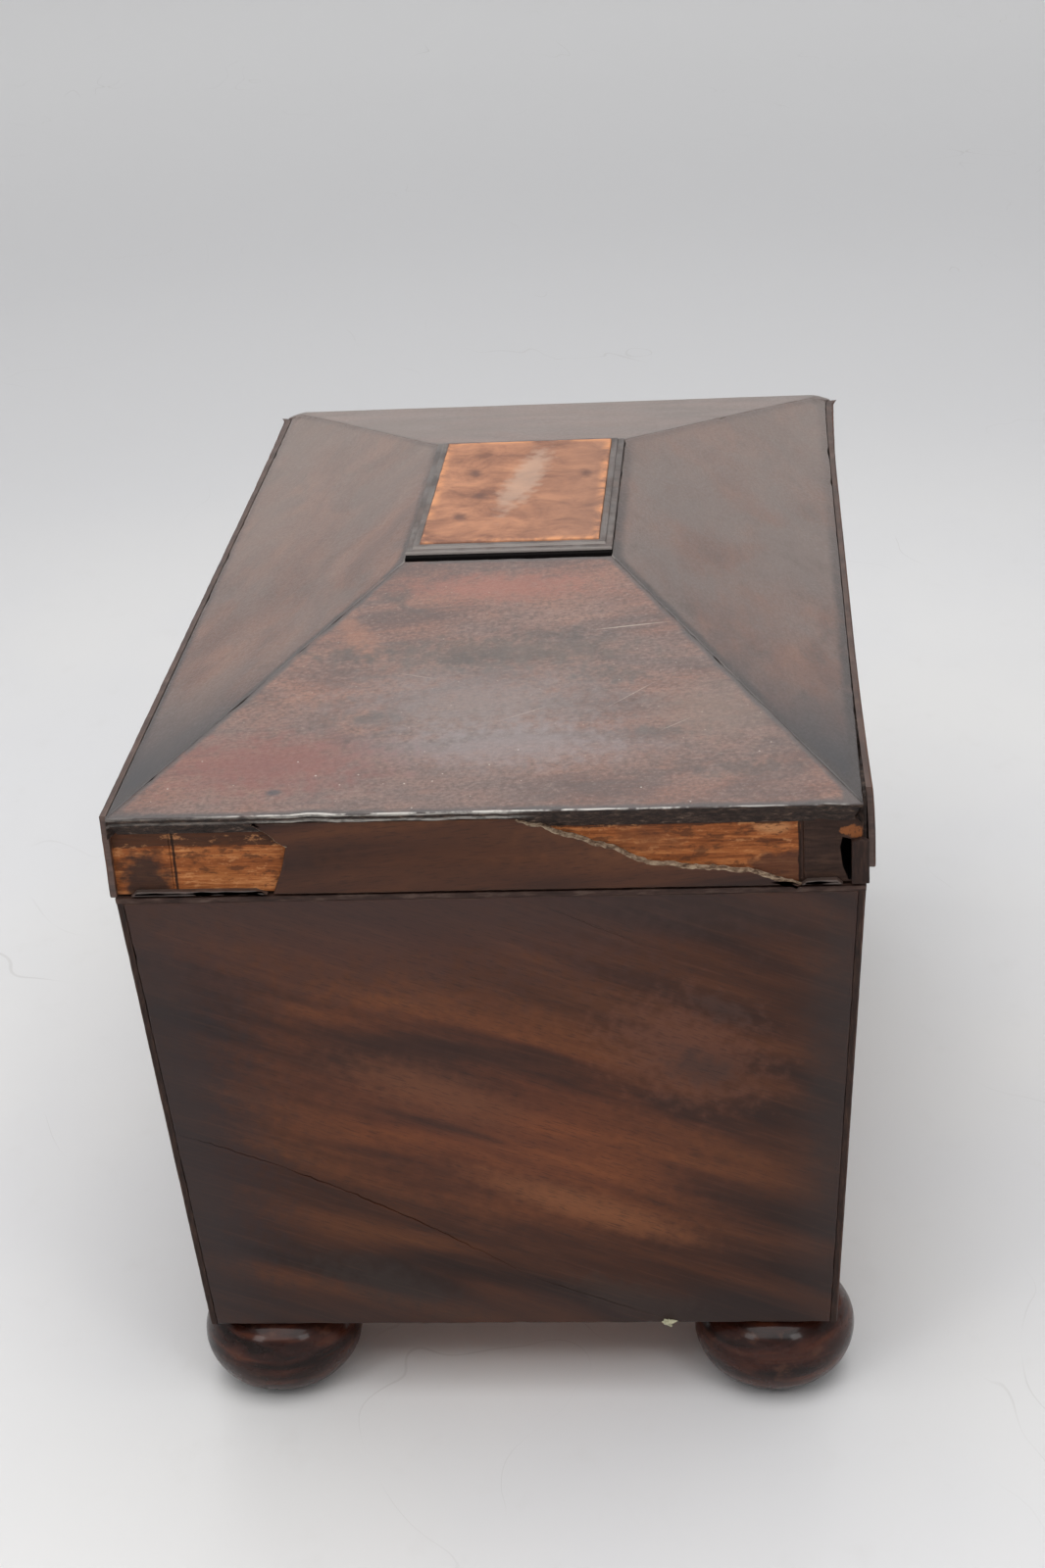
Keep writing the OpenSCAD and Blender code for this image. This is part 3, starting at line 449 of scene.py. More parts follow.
def bare_tablet(name):
    """The tablet's dry, unvarnished top: coppery wood with a glue smear and dark spots."""
    s = Shader(name, Specular_IOR_Level=0.25)
    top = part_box("tablet_block")[1].z
    broad = s.noise(s.grain(Y, Z, (9, 8, 9), 2.0), 4.0, 0.6, 0.5)
    fine = s.noise(s.grain(Y, Z, (1.5, 1.2, 1), 2.0), 4.0, 0.65)
    streak = s.blend((broad, 0.85), (fine, 0.15))
    colour = s.ramp(streak, [(0.36, (0.24, 0.115, 0.078)), (0.50, (0.40, 0.190, 0.115)),
                             (0.64, (0.54, 0.26, 0.150))])
    y = s.axis("Y")
    colour = s.mix(s.level(y, 6 * MM, -20 * MM, 0.0, 0.5), colour, (0.27, 0.150, 0.108))
    edges = s.times(s.rim(0.2, 2.4), s.level(broad, 0.40, 0.60, 0.0, 0.75))
    colour = s.mix(edges, colour, (0.80, 0.36, 0.17))
    smear = s.blot((5.0 * MM, -0.5 * MM, top), (25.0, 4.6, 5), (1, -0.16, 0), Z, 0.6, 1.1)
    colour = s.lay(colour, (0.54, 0.38, 0.29), smear, 0.6)
    for at in ((10, 10), (-4, 8), (8, -13), (-16, 11)):
        spot = s.blot((at[0] * MM, at[1] * MM, top), (3.4, 2.3, 3), (1, 0.3, 0), Z, 0.9, 0.8)
        colour = s.lay(colour, (0.15, 0.080, 0.065), spot, 0.85)
    return s.finish(colour, 0.62, fine, 0.08)


def turned_mahogany(name):
    """Dark, glossy polish on the turned feet, rubbed redder in patches."""
    s = Shader(name, Coat_Weight=0.32, Coat_Roughness=0.12, Specular_IOR_Level=0.1)
    rings = s.noise(s.grain(X, Z, (30, 14, 2.2), 3.0), 4.0, 0.55, 0.6)
    colour = s.ramp(rings, [(0.35, (0.010, 0.004, 0.003)), (0.52, (0.030, 0.009, 0.006)),
                            (0.70, (0.075, 0.022, 0.011))])
    wear = s.noise(s.grain(X, Z, (5, 5, 3), 1.0), 4.0, 0.6)
    colour = s.mix(s.level(wear, 0.58, 0.72, 0.0, 0.4), colour, (0.11, 0.045, 0.026))
    rough = s.level(wear, 0.4, 0.65, 0.24, 0.40)
    return s.finish(colour, rough, wear, 0.12)


def plain_mahogany(name):
    """Straight-grained inner wood, oiled and matt."""
    s = Shader(name, Coat_Weight=0.15, Coat_Roughness=0.45)
    rings = s.noise(s.grain(X, Z, (60, 5, 8)), 3.0, 0.5, 0.4)
    fibre = s.noise(s.grain(X, Z, (12, 0.6, 1)), 4.0, 0.6)
    streak = s.blend((rings, 0.6), (fibre, 0.4))
    colour = s.ramp(streak, [(0.35, (0.085, 0.032, 0.018)), (0.50, (0.15, 0.058, 0.030)),
                             (0.66, (0.24, 0.10, 0.050))])
    return s.finish(colour, 0.52, fibre, 0.06)


def old_brass(name):
    """Handled brass, brown in the hollows."""
    s = Shader(name, Metallic=1.0)
    tarnish = s.noise(s.grain(X, Z, (6, 6, 6), 2.0), 5.0, 0.65)
    colour = s.ramp(tarnish, [(0.35, (0.20, 0.125, 0.05)), (0.50, (0.46, 0.32, 0.13)),
                              (0.66, (0.66, 0.50, 0.24))])
    lines = s.noise(s.grain(X, Z, (9, 0.25, 9)), 3.0, 0.6)
    return s.finish(colour, s.level(tarnish, 0.35, 0.65, 0.48, 0.28), lines, 0.03)


def spring_steel(name):
    s = Shader(name, Metallic=1.0)
    tint = s.noise(s.grain(X, Z, (3, 3, 3)), 4.0, 0.6)
    return s.finish(s.ramp(tint, [(0.4, (0.13, 0.13, 0.15)), (0.6, (0.34, 0.34, 0.36))]), 0.35, tint, 0.02)


def lining_foil(name):
    """Dull tinned foil, creased and smeared."""
    s = Shader(name, Metallic=0.85)
    smear = s.noise(s.grain(X, Z, (22, 22, 16), 1.0), 5.0, 0.6)
    colour = s.ramp(smear, [(0.36, (0.23, 0.22, 0.20)), (0.52, (0.38, 0.375, 0.36)),
                            (0.68, (0.52, 0.52, 0.50))])
    creases = s.noise(s.grain(X, Z, (4, 4, 4), 2.0), 4.0, 0.6, 0.8)
    return s.finish(colour, s.level(smear, 0.4, 0.6, 0.36, 0.55), creases, 0.25)


def bone(name):
    s = Shader(name, Coat_Weight=0.3, Coat_Roughness=0.2, Subsurface_Weight=0.05)
    veins = s.noise(s.grain(Z, X, (9, 0.8, 0.8), 1.0), 4.0, 0.6)
    colour = s.ramp(veins, [(0.38, (0.50, 0.39, 0.24)), (0.5, (0.72, 0.62, 0.45)),
                            (0.66, (0.80, 0.72, 0.56))])
    return s.finish(colour, 0.32, veins, 0.03)


# ---- Plates: veneers and boards with worn edges ----

ARRIS = [(0.0, 0.32), (0.06, 0.15), (0.17, 0.05), (0.36, 0.0), (0.8, 0.0)]
BREAK = [(0.0, 0.75), (0.11, 0.42), (0.23, 0.16), (0.35, 0.0), (0.9, 0.0)]


def wander(place, size):
    """Smooth noise in -1..1 with features of that size, at a point of the row frame."""
    return noise.noise(Vector(place) / size)


class Plane:
    """The plane of a flat outline, given anticlockwise as seen from outside."""

    def __init__(self, corners):
        self.origin = corners[0]
        area = Vector()
        for a, b in zip(corners, corners[1:] + corners[:1]):
            area += (a - self.origin).cross(b - self.origin)
        self.n = area.normalized()
        self.u = (corners[1] - corners[0]).normalized()
        self.v = self.n.cross(self.u)

    def flat(self, p):
        return Vector(((p - self.origin).dot(self.u), (p - self.origin).dot(self.v)))

    def solid(self, q, height=0.0):
        return self.origin + self.u * q.x + self.v * q.y + self.n * height


def inward(points):
    """Steps from each point of an anticlockwise outline that carry its sides inwards by 1."""
    steps = []
    for k, p in enumerate(points):
        ahead = (points[(k + 1) % len(points)] - p).normalized()
        behind = (p - points[k - 1]).normalized()
        turn = Vector((-ahead.y - behind.y, ahead.x + behind.x))
        steps.append(turn / max(0.6, turn.length_squared / 2))
    return steps


def gap_to(q, points):
    """Distance from q to the nearest side of a closed outline, positive inside it."""
    best, inside = 1e9, False
    for a, b in zip(points, points[1:] + points[:1]):
        side = b - a
        t = min(1.0, max(0.0, (q - a).dot(side) / side.length_squared))
        best = min(best, (q - a - side * t).length)
        if (a.y > q.y) != (b.y > q.y) and q.x < a.x + side.x * (q.y - a.y) / side.y:
            inside = not inside
    return best if inside else -best


def nearest(points):
    """A function that measures the distance from a point to the nearest of these."""
    tree = KDTree(len(points) + 1)
    for i, q in enumerate(points + [Vector((9, 9))]):
        tree.insert((q.x, q.y, 0), i)
    tree.balance()
    return lambda q: tree.find((q.x, q.y, 0))[2]


def sampled(corners, back, torn, spacing):
    """Points along an outline's sides, with the points behind them and whether each is on a break."""
    front, behind, broken = [], [], []
    for i, a in enumerate(corners):
        j = (i + 1) % len(corners)
        count = max(1, round((corners[j] - a).length / (0.55 * MM if i in torn else spacing)))
        for k in range(count):
            front.append(a.lerp(corners[j], k / count))
            behind.append(back[i].lerp(back[j], k / count))
            broken.append(i in torn)
    return front, behind, broken


def groove_points(line, plane, width, depth):
    """Points of a crack: its bottom and its two lips, pinched to nothing at both ends."""
    fine = []
    for a, b in zip(line, line[1:]):
        count = max(1, round((b - a).length / (0.8 * MM)))
        fine += [a.lerp(b, k / count) for k in range(count)]
    fine = [plane.flat(p) for p in fine + [line[-1]]]
    rows = []
    for k, p in enumerate(fine):
        way = (fine[min(k + 1, len(fine) - 1)] - fine[max(k - 1, 0)]).normalized()
        side = Vector((-way.y, way.x))
        p = p + side * wander((p.x, p.y, 1), 1.6 * MM) * 0.28 * MM
        swell = min(1.0, 4 * k / len(fine), 4 * (1 - k / (len(fine) - 1)) + 0.05)
        swell *= 0.65 + 0.5 * wander((p.x, p.y, 2), 5 * MM)
        rows.append([(p + side * width * s * (0.15 + swell) / 2, -depth * swell * d)
                     for s, d in ((-4, 0), (-1, 0), (0, 1), (1, 0), (4, 0))])
    return rows


def plate(name, corners, back, skins, body, step=3 * MM, spacing=1.6 * MM, torn=(), wobble=0.05 * MM,
          chips=0.0, surface=None, grooves=(), rows=1, ragged=0.0):
    """A board or veneer whose outline and face carry wear. corners run anticlockwise seen from outside;
    back holds the corners behind them; torn lists the sides that are broken off. skins are the
    materials of the face, of the sides and of the breaks."""
    plane = Plane(corners)
    front, behind, broken = sampled(corners, back, torn, spacing)
    flat = [plane.flat(p) for p in front]
    steps = inward(flat)
    for k, q in enumerate(flat):
        p = front[k]
        shift = wobble * abs(wander(p, 2.3 * MM)) + chips * max(0.0, wander(p, 6 * MM) - 0.35)
        if broken[k]:
            shift = 0.3 * MM * (wander(p, 1.1 * MM) + 1.4 * wander(p, 3.1 * MM))
        flat[k] = q + steps[k] * shift
        behind[k] = behind[k] + plane.solid(flat[k]) - p
    steps = inward(flat)
    verts, faces, looks, edge = [], [], [], []
    count = len(flat)
    for ring in range(len(ARRIS)):
        for k, q in enumerate(flat):
            inset, drop = (BREAK if broken[k] else ARRIS)[ring]
            size = (1.0 if broken[k] else 0.85) + 0.45 * wander(front[k], 2.7 * MM)
            at = q + steps[k] * inset * size * MM
            lift = surface(plane.solid(at)) if surface and ring > 2 else 0.0
            verts.append(plane.solid(at, lift - min(drop * size * MM, 0.9 * VENEER_T)))
            edge.append(inset * MM)
            if ring:
                here, there = (ring - 1) * count, ring * count
                n = (k + 1) % count
                faces.append((here + k, here + n, there + n, there + k))
                looks.append(2 if broken[k] and ring < 4 else 0)
    last = (len(ARRIS) - 1) * count
    inner = [plane.flat(v) for v in verts[last:last + count]]
    points, heights = list(inner), [None] * count
    ties = []
    guard = []
    for line, width, depth in grooves:
        made = groove_points(line, plane, width, depth)
        for column in range(5):
            start = len(points)
            kept = [row[column] for row in made if gap_to(row[column][0], inner) > 0.25 * MM]
            points += [p for p, _ in kept]
            heights += [h for _, h in kept]
            if 0 < column < 4:
                ties += [(start + k, start + k + 1) for k in range(len(kept) - 1)]
        guard += [row[2][0] for row in made]
    to_edge, to_groove = nearest(inner), nearest(guard)
    low = Vector((min(q.x for q in inner), min(q.y for q in inner)))
    high = Vector((max(q.x for q in inner), max(q.y for q in inner)))
    for i in range(1, int((high.x - low.x) / step) + 1):
        for j in range(1, int((high.y - low.y) / step) + 1):
            q = low + Vector((i * step, j * step))
            q += Vector((wander((q.x, q.y, 3), step), wander((q.x, q.y, 7), step))) * 0.25 * step
            if to_edge(q) > 0.45 * step and to_groove(q) > 0.4 * step:
                points.append(q)
                heights.append(None)
    made = delaunay_2d_cdt(points, ties, [list(range(count))], 1, 1e-7)
    index = {}
    for i in sorted({i for face in made[2] for i in face}):
        q, source = made[0][i], made[3][i]
        if source and source[0] < count:
            index[i] = last + source[0]
            continue
        p = plane.solid(q)
        height = heights[source[0]] if source else 0.0
        if height is None:
            height = surface(p) if surface else 0.03 * MM * wander(p, 17 * MM)
        index[i] = len(verts)
        verts.append(plane.solid(q, height))
        edge.append(min(30 * MM, 0.8 * MM + to_edge(q)))
    for f in made[2]:
        faces.append(tuple(index[i] for i in f))
        looks.append(0)
    previous = list(range(count))
    for row in range(1, rows + 1):
        start = len(verts)
        for k in range(count):
            p = verts[k].lerp(behind[k], row / rows)
            if row < rows:
                outward = plane.u * -steps[k].x + plane.v * -steps[k].y
                p = p + outward * ragged * (wander(p, 1.5 * MM) + wander(p, 4 * MM) - 0.4)
            verts.append(p)
            edge.append(0.0)
        for k in range(count):
            n = (k + 1) % count
            faces.append((previous[n], previous[k], start + k, start + n))
            looks.append(2 if broken[k] else 1)
        previous = list(range(start, start + count))
    faces.append(tuple(reversed(previous)))
    looks.append(1)
    return build(name, verts, faces, skins, body, looks, edge)


def build(name, verts, faces, skins, body, looks=None, edge=None, smooth=38):
    """A mesh object that rides on a body."""
    mesh = bpy.data.meshes.new(name)
    mesh.from_pydata([tuple(v) for v in verts], [], faces)
    for skin in skins:
        mesh.materials.append(skin)
    if looks:
        mesh.polygons.foreach_set("material_index", looks)
    values = edge or [30 * MM] * len(verts)
    mesh.attributes.new("rim", "FLOAT", "POINT").data.foreach_set("value", values)
    mesh.polygons.foreach_set("use_smooth", [True] * len(mesh.polygons))
    mesh.set_sharp_from_angle(angle=math.radians(smooth))
    piece = bpy.data.objects.new(name, mesh)
    bpy.context.scene.collection.objects.link(piece)
    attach(piece, body)
    return piece


def behind(corners, into):
    return [p + Vector(into) for p in corners]


# ---- CAD shapes with softened edges ----


def cad_bmesh(node):
    """A CAD node's shape with its split points joined and its flat faces whole."""
    data = frame["nodes"][node].data
    bm = bmesh.new()
    made = [bm.verts.new(v.co) for v in data.vertices]
    for polygon in data.polygons:
        bm.faces.new([made[i] for i in polygon.vertices])
    bmesh.ops.remove_doubles(bm, verts=bm.verts, dist=0.002 * MM)
    bmesh.ops.dissolve_limit(bm, angle_limit=math.radians(0.8), verts=bm.verts, edges=bm.edges)
    return bm


def soften(node, skin, bevel=0.25 * MM, clamp=False, sharp=35):
    """A copy of a CAD node with rounded edges, which stands for it."""
    bm = cad_bmesh(node)
    edges = [e for e in bm.edges if len(e.link_faces) == 2 and e.calc_face_angle(0) > math.radians(sharp)]
    bmesh.ops.bevel(bm, geom=edges, offset=bevel, segments=2, profile=0.6, affect="EDGES",
                    clamp_overlap=clamp)
    bmesh.ops.remove_doubles(bm, verts=bm.verts, dist=0.002 * MM)
    verts = [v.co.copy() for v in bm.verts]
    bm.verts.index_update()
    faces = [tuple(v.index for v in f.verts) for f in bm.faces]
    bm.free()
    piece = build(node + ".soft", verts, faces, [skin], frame["nodes"][node]["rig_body"])
    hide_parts(node)
    return piece


def cut(piece, outline, axis, low, high, skin):
    """Takes a straight hole out of a piece: a flat outline carried along an axis."""
    others = [a for a in (X, Y, Z) if a != axis]
    rings = [[others[0] * p[0] + others[1] * p[1] + axis * at for p in outline] for at in (low, high)]
    count = len(outline)
    faces = [tuple(range(count)), tuple(reversed(range(count, 2 * count)))]
    faces += [(k, k + count, (k + 1) % count + count, (k + 1) % count) for k in range(count)]
    mesh = bpy.data.meshes.new("cutter")
    mesh.from_pydata([tuple(p) for p in rings[0] + rings[1]], [], faces)
    bm = bmesh.new()
    bm.from_mesh(mesh)
    bmesh.ops.recalc_face_normals(bm, faces=bm.faces)
    bm.to_mesh(mesh)
    bm.free()
    mesh.materials.append(skin)
    cutter = bpy.data.objects.new("cutter", mesh)
    bpy.context.scene.collection.objects.link(cutter)
    modifier = piece.modifiers.new("cut", "BOOLEAN")
    modifier.object = cutter
    modifier.solver = "EXACT"
    modifier.material_mode = "TRANSFER"
    bpy.context.view_layer.update()
    graph = bpy.context.evaluated_depsgraph_get()
    made = bpy.data.meshes.new_from_object(piece.evaluated_get(graph))
    piece.modifiers.clear()
    piece.data = made
    made.set_sharp_from_angle(angle=math.radians(38))
    bpy.data.objects.remove(cutter)


def turned(name, profile, centre, skin, body, sides=96, ridges=0.0):
    """A turned shape about a vertical axis, from its (radius, height) outline, bottom to top."""
    verts, faces = [], []
    for radius, z in profile:
        for k in range(sides):
            turn = 2 * math.pi * k / sides
            out = Vector((math.cos(turn), math.sin(turn), 0))
            stray = ridges * wander((z * 9, 0, 0), 5 * MM)
            stray += 0.4 * ridges * wander(centre + out * radius, 9 * MM)
            verts.append(centre + out * (radius + stray) + Z * z)
    for ring in range(len(profile) - 1):
        for k in range(sides):
            n = (k + 1) % sides
            faces.append((ring * sides + k, ring * sides + n, (ring + 1) * sides + n, (ring + 1) * sides + k))
    faces.append(tuple(reversed(range(sides))))
    faces.append(tuple(range((len(profile) - 1) * sides, len(profile) * sides)))
    return build(name, verts, faces, [skin], body, smooth=50)


def arc(centre, radius, start, end, count):
    """(radius, height) points along an arc of a turned outline, with angles in degrees."""
    turns = [math.radians(start + (end - start) * k / count) for k in range(count + 1)]
    return [(centre[0] + radius * math.cos(t), centre[1] + radius * math.sin(t)) for t in turns]


# ---- The case ----


def case_corners(side):
    """The outer corners of a case wall, anticlockwise from outside: side is an outward direction."""
    right = Vector((-side.y, side.x, 0))
    ends = side.x != 0
    inset = VENEER_T if ends else 0.0
    low = (CASE_LOW.x, CASE_LOW.y - inset) if ends else (CASE_LOW.y, CASE_LOW.x)
    high = (CASE_HIGH.x, CASE_HIGH.y - inset) if ends else (CASE_HIGH.y, CASE_HIGH.x)
    return [side * out + right * across * sign + Z * z
            for (out, across), sign, z in
            ((low, -1, CASE_Z), (low, 1, CASE_Z), (high, 1, EDGE_Z), (high, -1, EDGE_Z))]


def on_case_end(y, below):
    """A point of the left end's face, so many millimetres below the seam."""
    corners = case_corners(-X)
    z = SEAM_Z - below * MM
    t = (z - CASE_Z) / (EDGE_Z - CASE_Z)
    return Vector((corners[0].x + (corners[3].x - corners[0].x) * t, y * MM, z))


# Mottling of the left end: (Y, depth below the seam), half sizes across, into the wood, tint, raggedness, way
END_MOTTLE = (((-33, 33), (22, 15), 20, (0.125, 0.046, 0.026), 1.5, None),
              ((-40, 25), (8, 4), 20, (0.050, 0.024, 0.018), 1.8, None),
              ((-36, 37), (9, 5), 20, (0.050, 0.024, 0.018), 1.9, None),
              ((-14, 68), (30, 5), 20, (0.21, 0.076, 0.030), 0.5, None),
              ((12, 42), (26, 7), 20, (0.15, 0.053, 0.024), 0.6, None),
              # These two darken the bottom of the end: painted shade.
              ((24, 86), (22, 7), 20, (0.034, 0.022, 0.018), 1.2, None),
              ((-22, 90), (20, 6), 20, (0.040, 0.024, 0.018), 1.2, None),
              ((60, 55), (80, 26), 30, (0.025, 0.018, 0.020), 0.9, Z),
              ((20, 6), (80, 22), 30, (0.062, 0.026, 0.020), 1.1, Y),
              ((-62, 50), (70, 10), 30, (0.028, 0.019, 0.017), 0.9, Z))


def case_walls(wall, fibre):
    """Four veneered faces, each with a painted pool of light in its middle; the left one has an old crack."""
    mottle = [(on_case_end(y, below), (*size, depth), tint, ragged, way)
              for (y, below), size, depth, tint, ragged, way in END_MOTTLE]
    crack = [on_case_end(62 - 63 * t, 50 + 22 * t + 11 * t * t) for t in (k / 6 for k in range(7))]
    hairline = [on_case_end(-2, 84), on_case_end(-26, 94)]
    scratch = [on_case_end(-10, 3), on_case_end(-26, 11)]
    grooves = [(crack, 0.34 * MM, 0.5 * MM), (hairline, 0.2 * MM, 0.25 * MM), (scratch, 0.16 * MM, 0.12 * MM)]
    looks = {"left_end_veneer": (-X, tilted(-Y, -Z, 21), mottle, grooves),
             "right_end_veneer": (X, tilted(Y, -Z, 16), (), ()),
             "front_veneer": (-Y, tilted(X, -Z, 7), (), ()),
             "back_veneer": (Y, tilted(X, Z, 5), (), ())}
    pieces = {}
    for seed, (node, (side, along, patches, cracks)) in enumerate(looks.items()):
        middle = side * CASE_HIGH[0 if side.x else 1] * 0.97 + Z * (CASE_Z + EDGE_Z) / 2
        # A painted pool of light, centred on the face.
        light_pool = (middle - along * 4 * MM, (62, 31, 40))
        skin = flame_mahogany(node, along, side, 0.11 * (seed + 1), 0.48, light_pool, patches)
        corners = case_corners(side)
        pieces[node] = plate(node + ".worn", corners, behind(corners, -side * VENEER_T), [skin, wall, fibre],
                             "case", wobble=0.10 * MM, chips=0.5 * MM, grooves=cracks)
        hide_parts(node)
    open_keyhole(pieces["front_veneer"])
    open_knuckle_rooms(pieces["back_veneer"])


def open_keyhole(piece):
    """The hole in the front veneer that the keyhole's plate fills."""
    low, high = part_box("keyhole_escutcheon")
    radius, half = (high.x - low.x) / 2, 2.0 * MM
    middle = high.z - radius
    start = -math.acos(half / radius)
    turns = [start + (math.pi - 2 * start) * k / 24 for k in range(25)]
    outline = [(radius * math.cos(t), middle + radius * math.sin(t)) for t in turns]
    outline += [(-half, low.z), (half, low.z)]
    cut(piece, outline, Y, low.y - 5 * MM, high.y + 1 * MM, piece.data.materials[1])


def open_knuckle_rooms(piece):
    """Round room for the hinge knuckles in the top edge of a back veneer."""
    for node in ("left_hinge_case_leaf", "right_hinge_case_leaf"):
        low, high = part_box(node)
        joint = next(j for j in frame["joints"] if j["name"] == "lid_hinge")
        centre = joint["pos_m"]
        radius = high.y - centre[1] + 0.3 * MM
        outline = [(centre[1] + radius * math.cos(t), centre[2] + radius * math.sin(t))
                   for t in (2 * math.pi * k / 24 for k in range(24))]
        cut(piece, outline, X, low.x - 0.2 * MM, high.x + 0.2 * MM, piece.data.materials[1])


def crumb(skin):
    """A pale scrap of fibre caught at the lower edge of the left end."""
    centre = Vector((-CASE_LOW.x - 0.5 * MM, -28 * MM, CASE_Z + 0.4 * MM))
    verts, faces = [], []
    rings, sides = 7, 10
    for i in range(rings + 1):
        lean = math.pi * i / rings
        for k in range(sides):
            turn = 2 * math.pi * k / sides
            out = Vector((math.cos(turn) * math.sin(lean), math.sin(turn) * math.sin(lean), math.cos(lean)))
            out = Vector((0.6 * out.x, 1.3 * out.y, 0.7 * out.z))
            verts.append(centre + out * (0.8 + 1.1 * wander(out * MM, 0.4 * MM)) * MM)
    for i in range(rings):
        for k in range(sides):
            n = (k + 1) % sides
            faces.append((i * sides + k, (i + 1) * sides + k, (i + 1) * sides + n, i * sides + n))
    piece = build("left_end_veneer.scrap", verts, faces, [skin], "case")
    bm = bmesh.new()
    bm.from_mesh(piece.data)
    bmesh.ops.remove_doubles(bm, verts=bm.verts, dist=0.001 * MM)
    bm.to_mesh(piece.data)
    bm.free()


def feet(skin):
    """Four turned buns, each with a flat pad and a small quirk under the case."""
    for node in ("front_left_foot", "front_right_foot", "back_left_foot", "back_right_foot"):
        low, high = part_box(node)
        centre = Vector(((low.x + high.x) / 2, (low.y + high.y) / 2, 0))
        radius = (high.x - low.x) / 2
        wide = 10 * MM
        upper = CASE_Z - wide
        profile = [(0.2 * MM, 0.0)] + arc((radius - wide, wide), wide, -90, 0, 20)
        profile += arc((radius - upper, wide), upper, 0, 82, 14)[1:]
        profile += [(radius - upper - 0.2 * MM, CASE_Z - 0.25 * MM), (radius - upper - 0.6 * MM, CASE_Z)]
        bun = turned(node + ".turned", profile, centre, skin, "case", ridges=0.05 * MM)
        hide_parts(node)


def crease(piece, size):
    """Creases thin foil: splits its faces and pushes the points off them."""
    bm = bmesh.new()
    bm.from_mesh(piece.data)
    bmesh.ops.triangulate(bm, faces=bm.faces)
    for _ in range(4):
        long = [e for e in bm.edges if e.calc_length() > 5 * MM]
        bmesh.ops.subdivide_edges(bm, edges=long, cuts=1, use_grid_fill=False)
        bmesh.ops.triangulate(bm, faces=[f for f in bm.faces if len(f.verts) > 3])
    bm.normal_update()
    moves = [(v, v.normal * size * (abs(wander(v.co, 13 * MM)) * 2 + 0.5 * wander(v.co, 5 * MM)) * -0.5)
             for v in bm.verts]
    for v, move in moves:
        v.co += move
    bm.to_mesh(piece.data)
    bm.free()
    piece.data.attributes["rim"].data.foreach_set("value", [30 * MM] * len(piece.data.vertices))


def case_inside(inner, brass, foil):
    """Linings, partition, foil, lock and hinges, softened from their CAD shapes."""
    for node in ("front_lining", "back_lining", "left_lining", "right_lining", "partition_board"):
        soften(node, inner, 0.3 * MM)
    for node in ("left_foil_lining", "right_foil_lining"):
        crease(soften(node, foil, 0.12 * MM), 0.3 * MM)
    for node in ("lock_case", "lock_cap", "lock_bolt", "left_hinge_case_leaf", "right_hinge_case_leaf",
                 "left_hinge_lid_leaf", "right_hinge_lid_leaf", "strike_plate"):
        soften(node, brass, 0.12 * MM)
    soften("keyhole_escutcheon", brass, 0.1 * MM, clamp=True)


# ---- The lid ----


def round_far_corners(piece):
    """Rounds the lid's two right corners, which are worn, in plan and over the brow."""
    radius, fade = 4 * MM, 70 * MM
    bm = bmesh.new()
    bm.from_mesh(piece.data)
    for inset in (radius, 0.62 * radius, 0.3 * radius):
        planes = ((BROW.x - inset, X), (RIM.y - inset, Y), (inset - RIM.y, Y), (BROW_Z - inset, Z))
        for place, normal in planes:
            parts = bm.verts[:] + bm.edges[:] + bm.faces[:]
            bmesh.ops.bisect_plane(bm, geom=parts, dist=NEAR, plane_co=normal * place, plane_no=normal)
    for v in bm.verts:
        rise = max(0.0, (v.co.z - BROW_Z) / (TOP_Z - BROW_Z))
        size = radius * max(0.0, 1 - 3 * rise)
        corner = Vector((BROW.x, RIM.y)).lerp(TOP, rise)
        x, y = v.co.x - corner.x + size, abs(v.co.y) - corner.y + size
        if size > 0 and x > 0 and y > 0:
            shrink = max(x, y) / math.hypot(x, y)
            v.co.x += x * (shrink - 1)
            v.co.y += math.copysign(y * (shrink - 1), v.co.y)
        size = radius * min(1.0, max(0.0, (v.co.x - RIM.x) / fade + 1)) ** 2
        y, z = abs(v.co.y) - RIM.y + size, v.co.z - BROW_Z + size
        if y > 0 and z > 0:
            shrink = max(y, z) / math.hypot(y, z)
            v.co.y += math.copysign(y * (shrink - 1), v.co.y)
            v.co.z += z * (shrink - 1)
    bm.to_mesh(piece.data)
    bm.free()


def slope_corners(side, lip):
    """A slope's outer corners, anticlockwise from outside, and those behind them; its lower edge
    leans in by lip."""
    right = Vector((-side.y, side.x, 0))
    ends = side.x != 0
    brow = (BROW.x, BROW.y) if ends else (BROW.y, BROW.x)
    top = (TOP.x, TOP.y) if ends else (TOP.y, TOP.x)
    corners, inner = [], []
    for (out, across), sign, z in ((brow, -1, BROW_Z), (brow, 1, BROW_Z), (top, 1, TOP_Z), (top, -1, TOP_Z)):
        corners.append(side * out + right * across * sign + Z * z)
        shrink = 1 - lip / out if z == BROW_Z else 1.0
        inner.append((side * out + right * across * sign) * shrink + Z * (z - SLOPE_T))
    return corners, inner


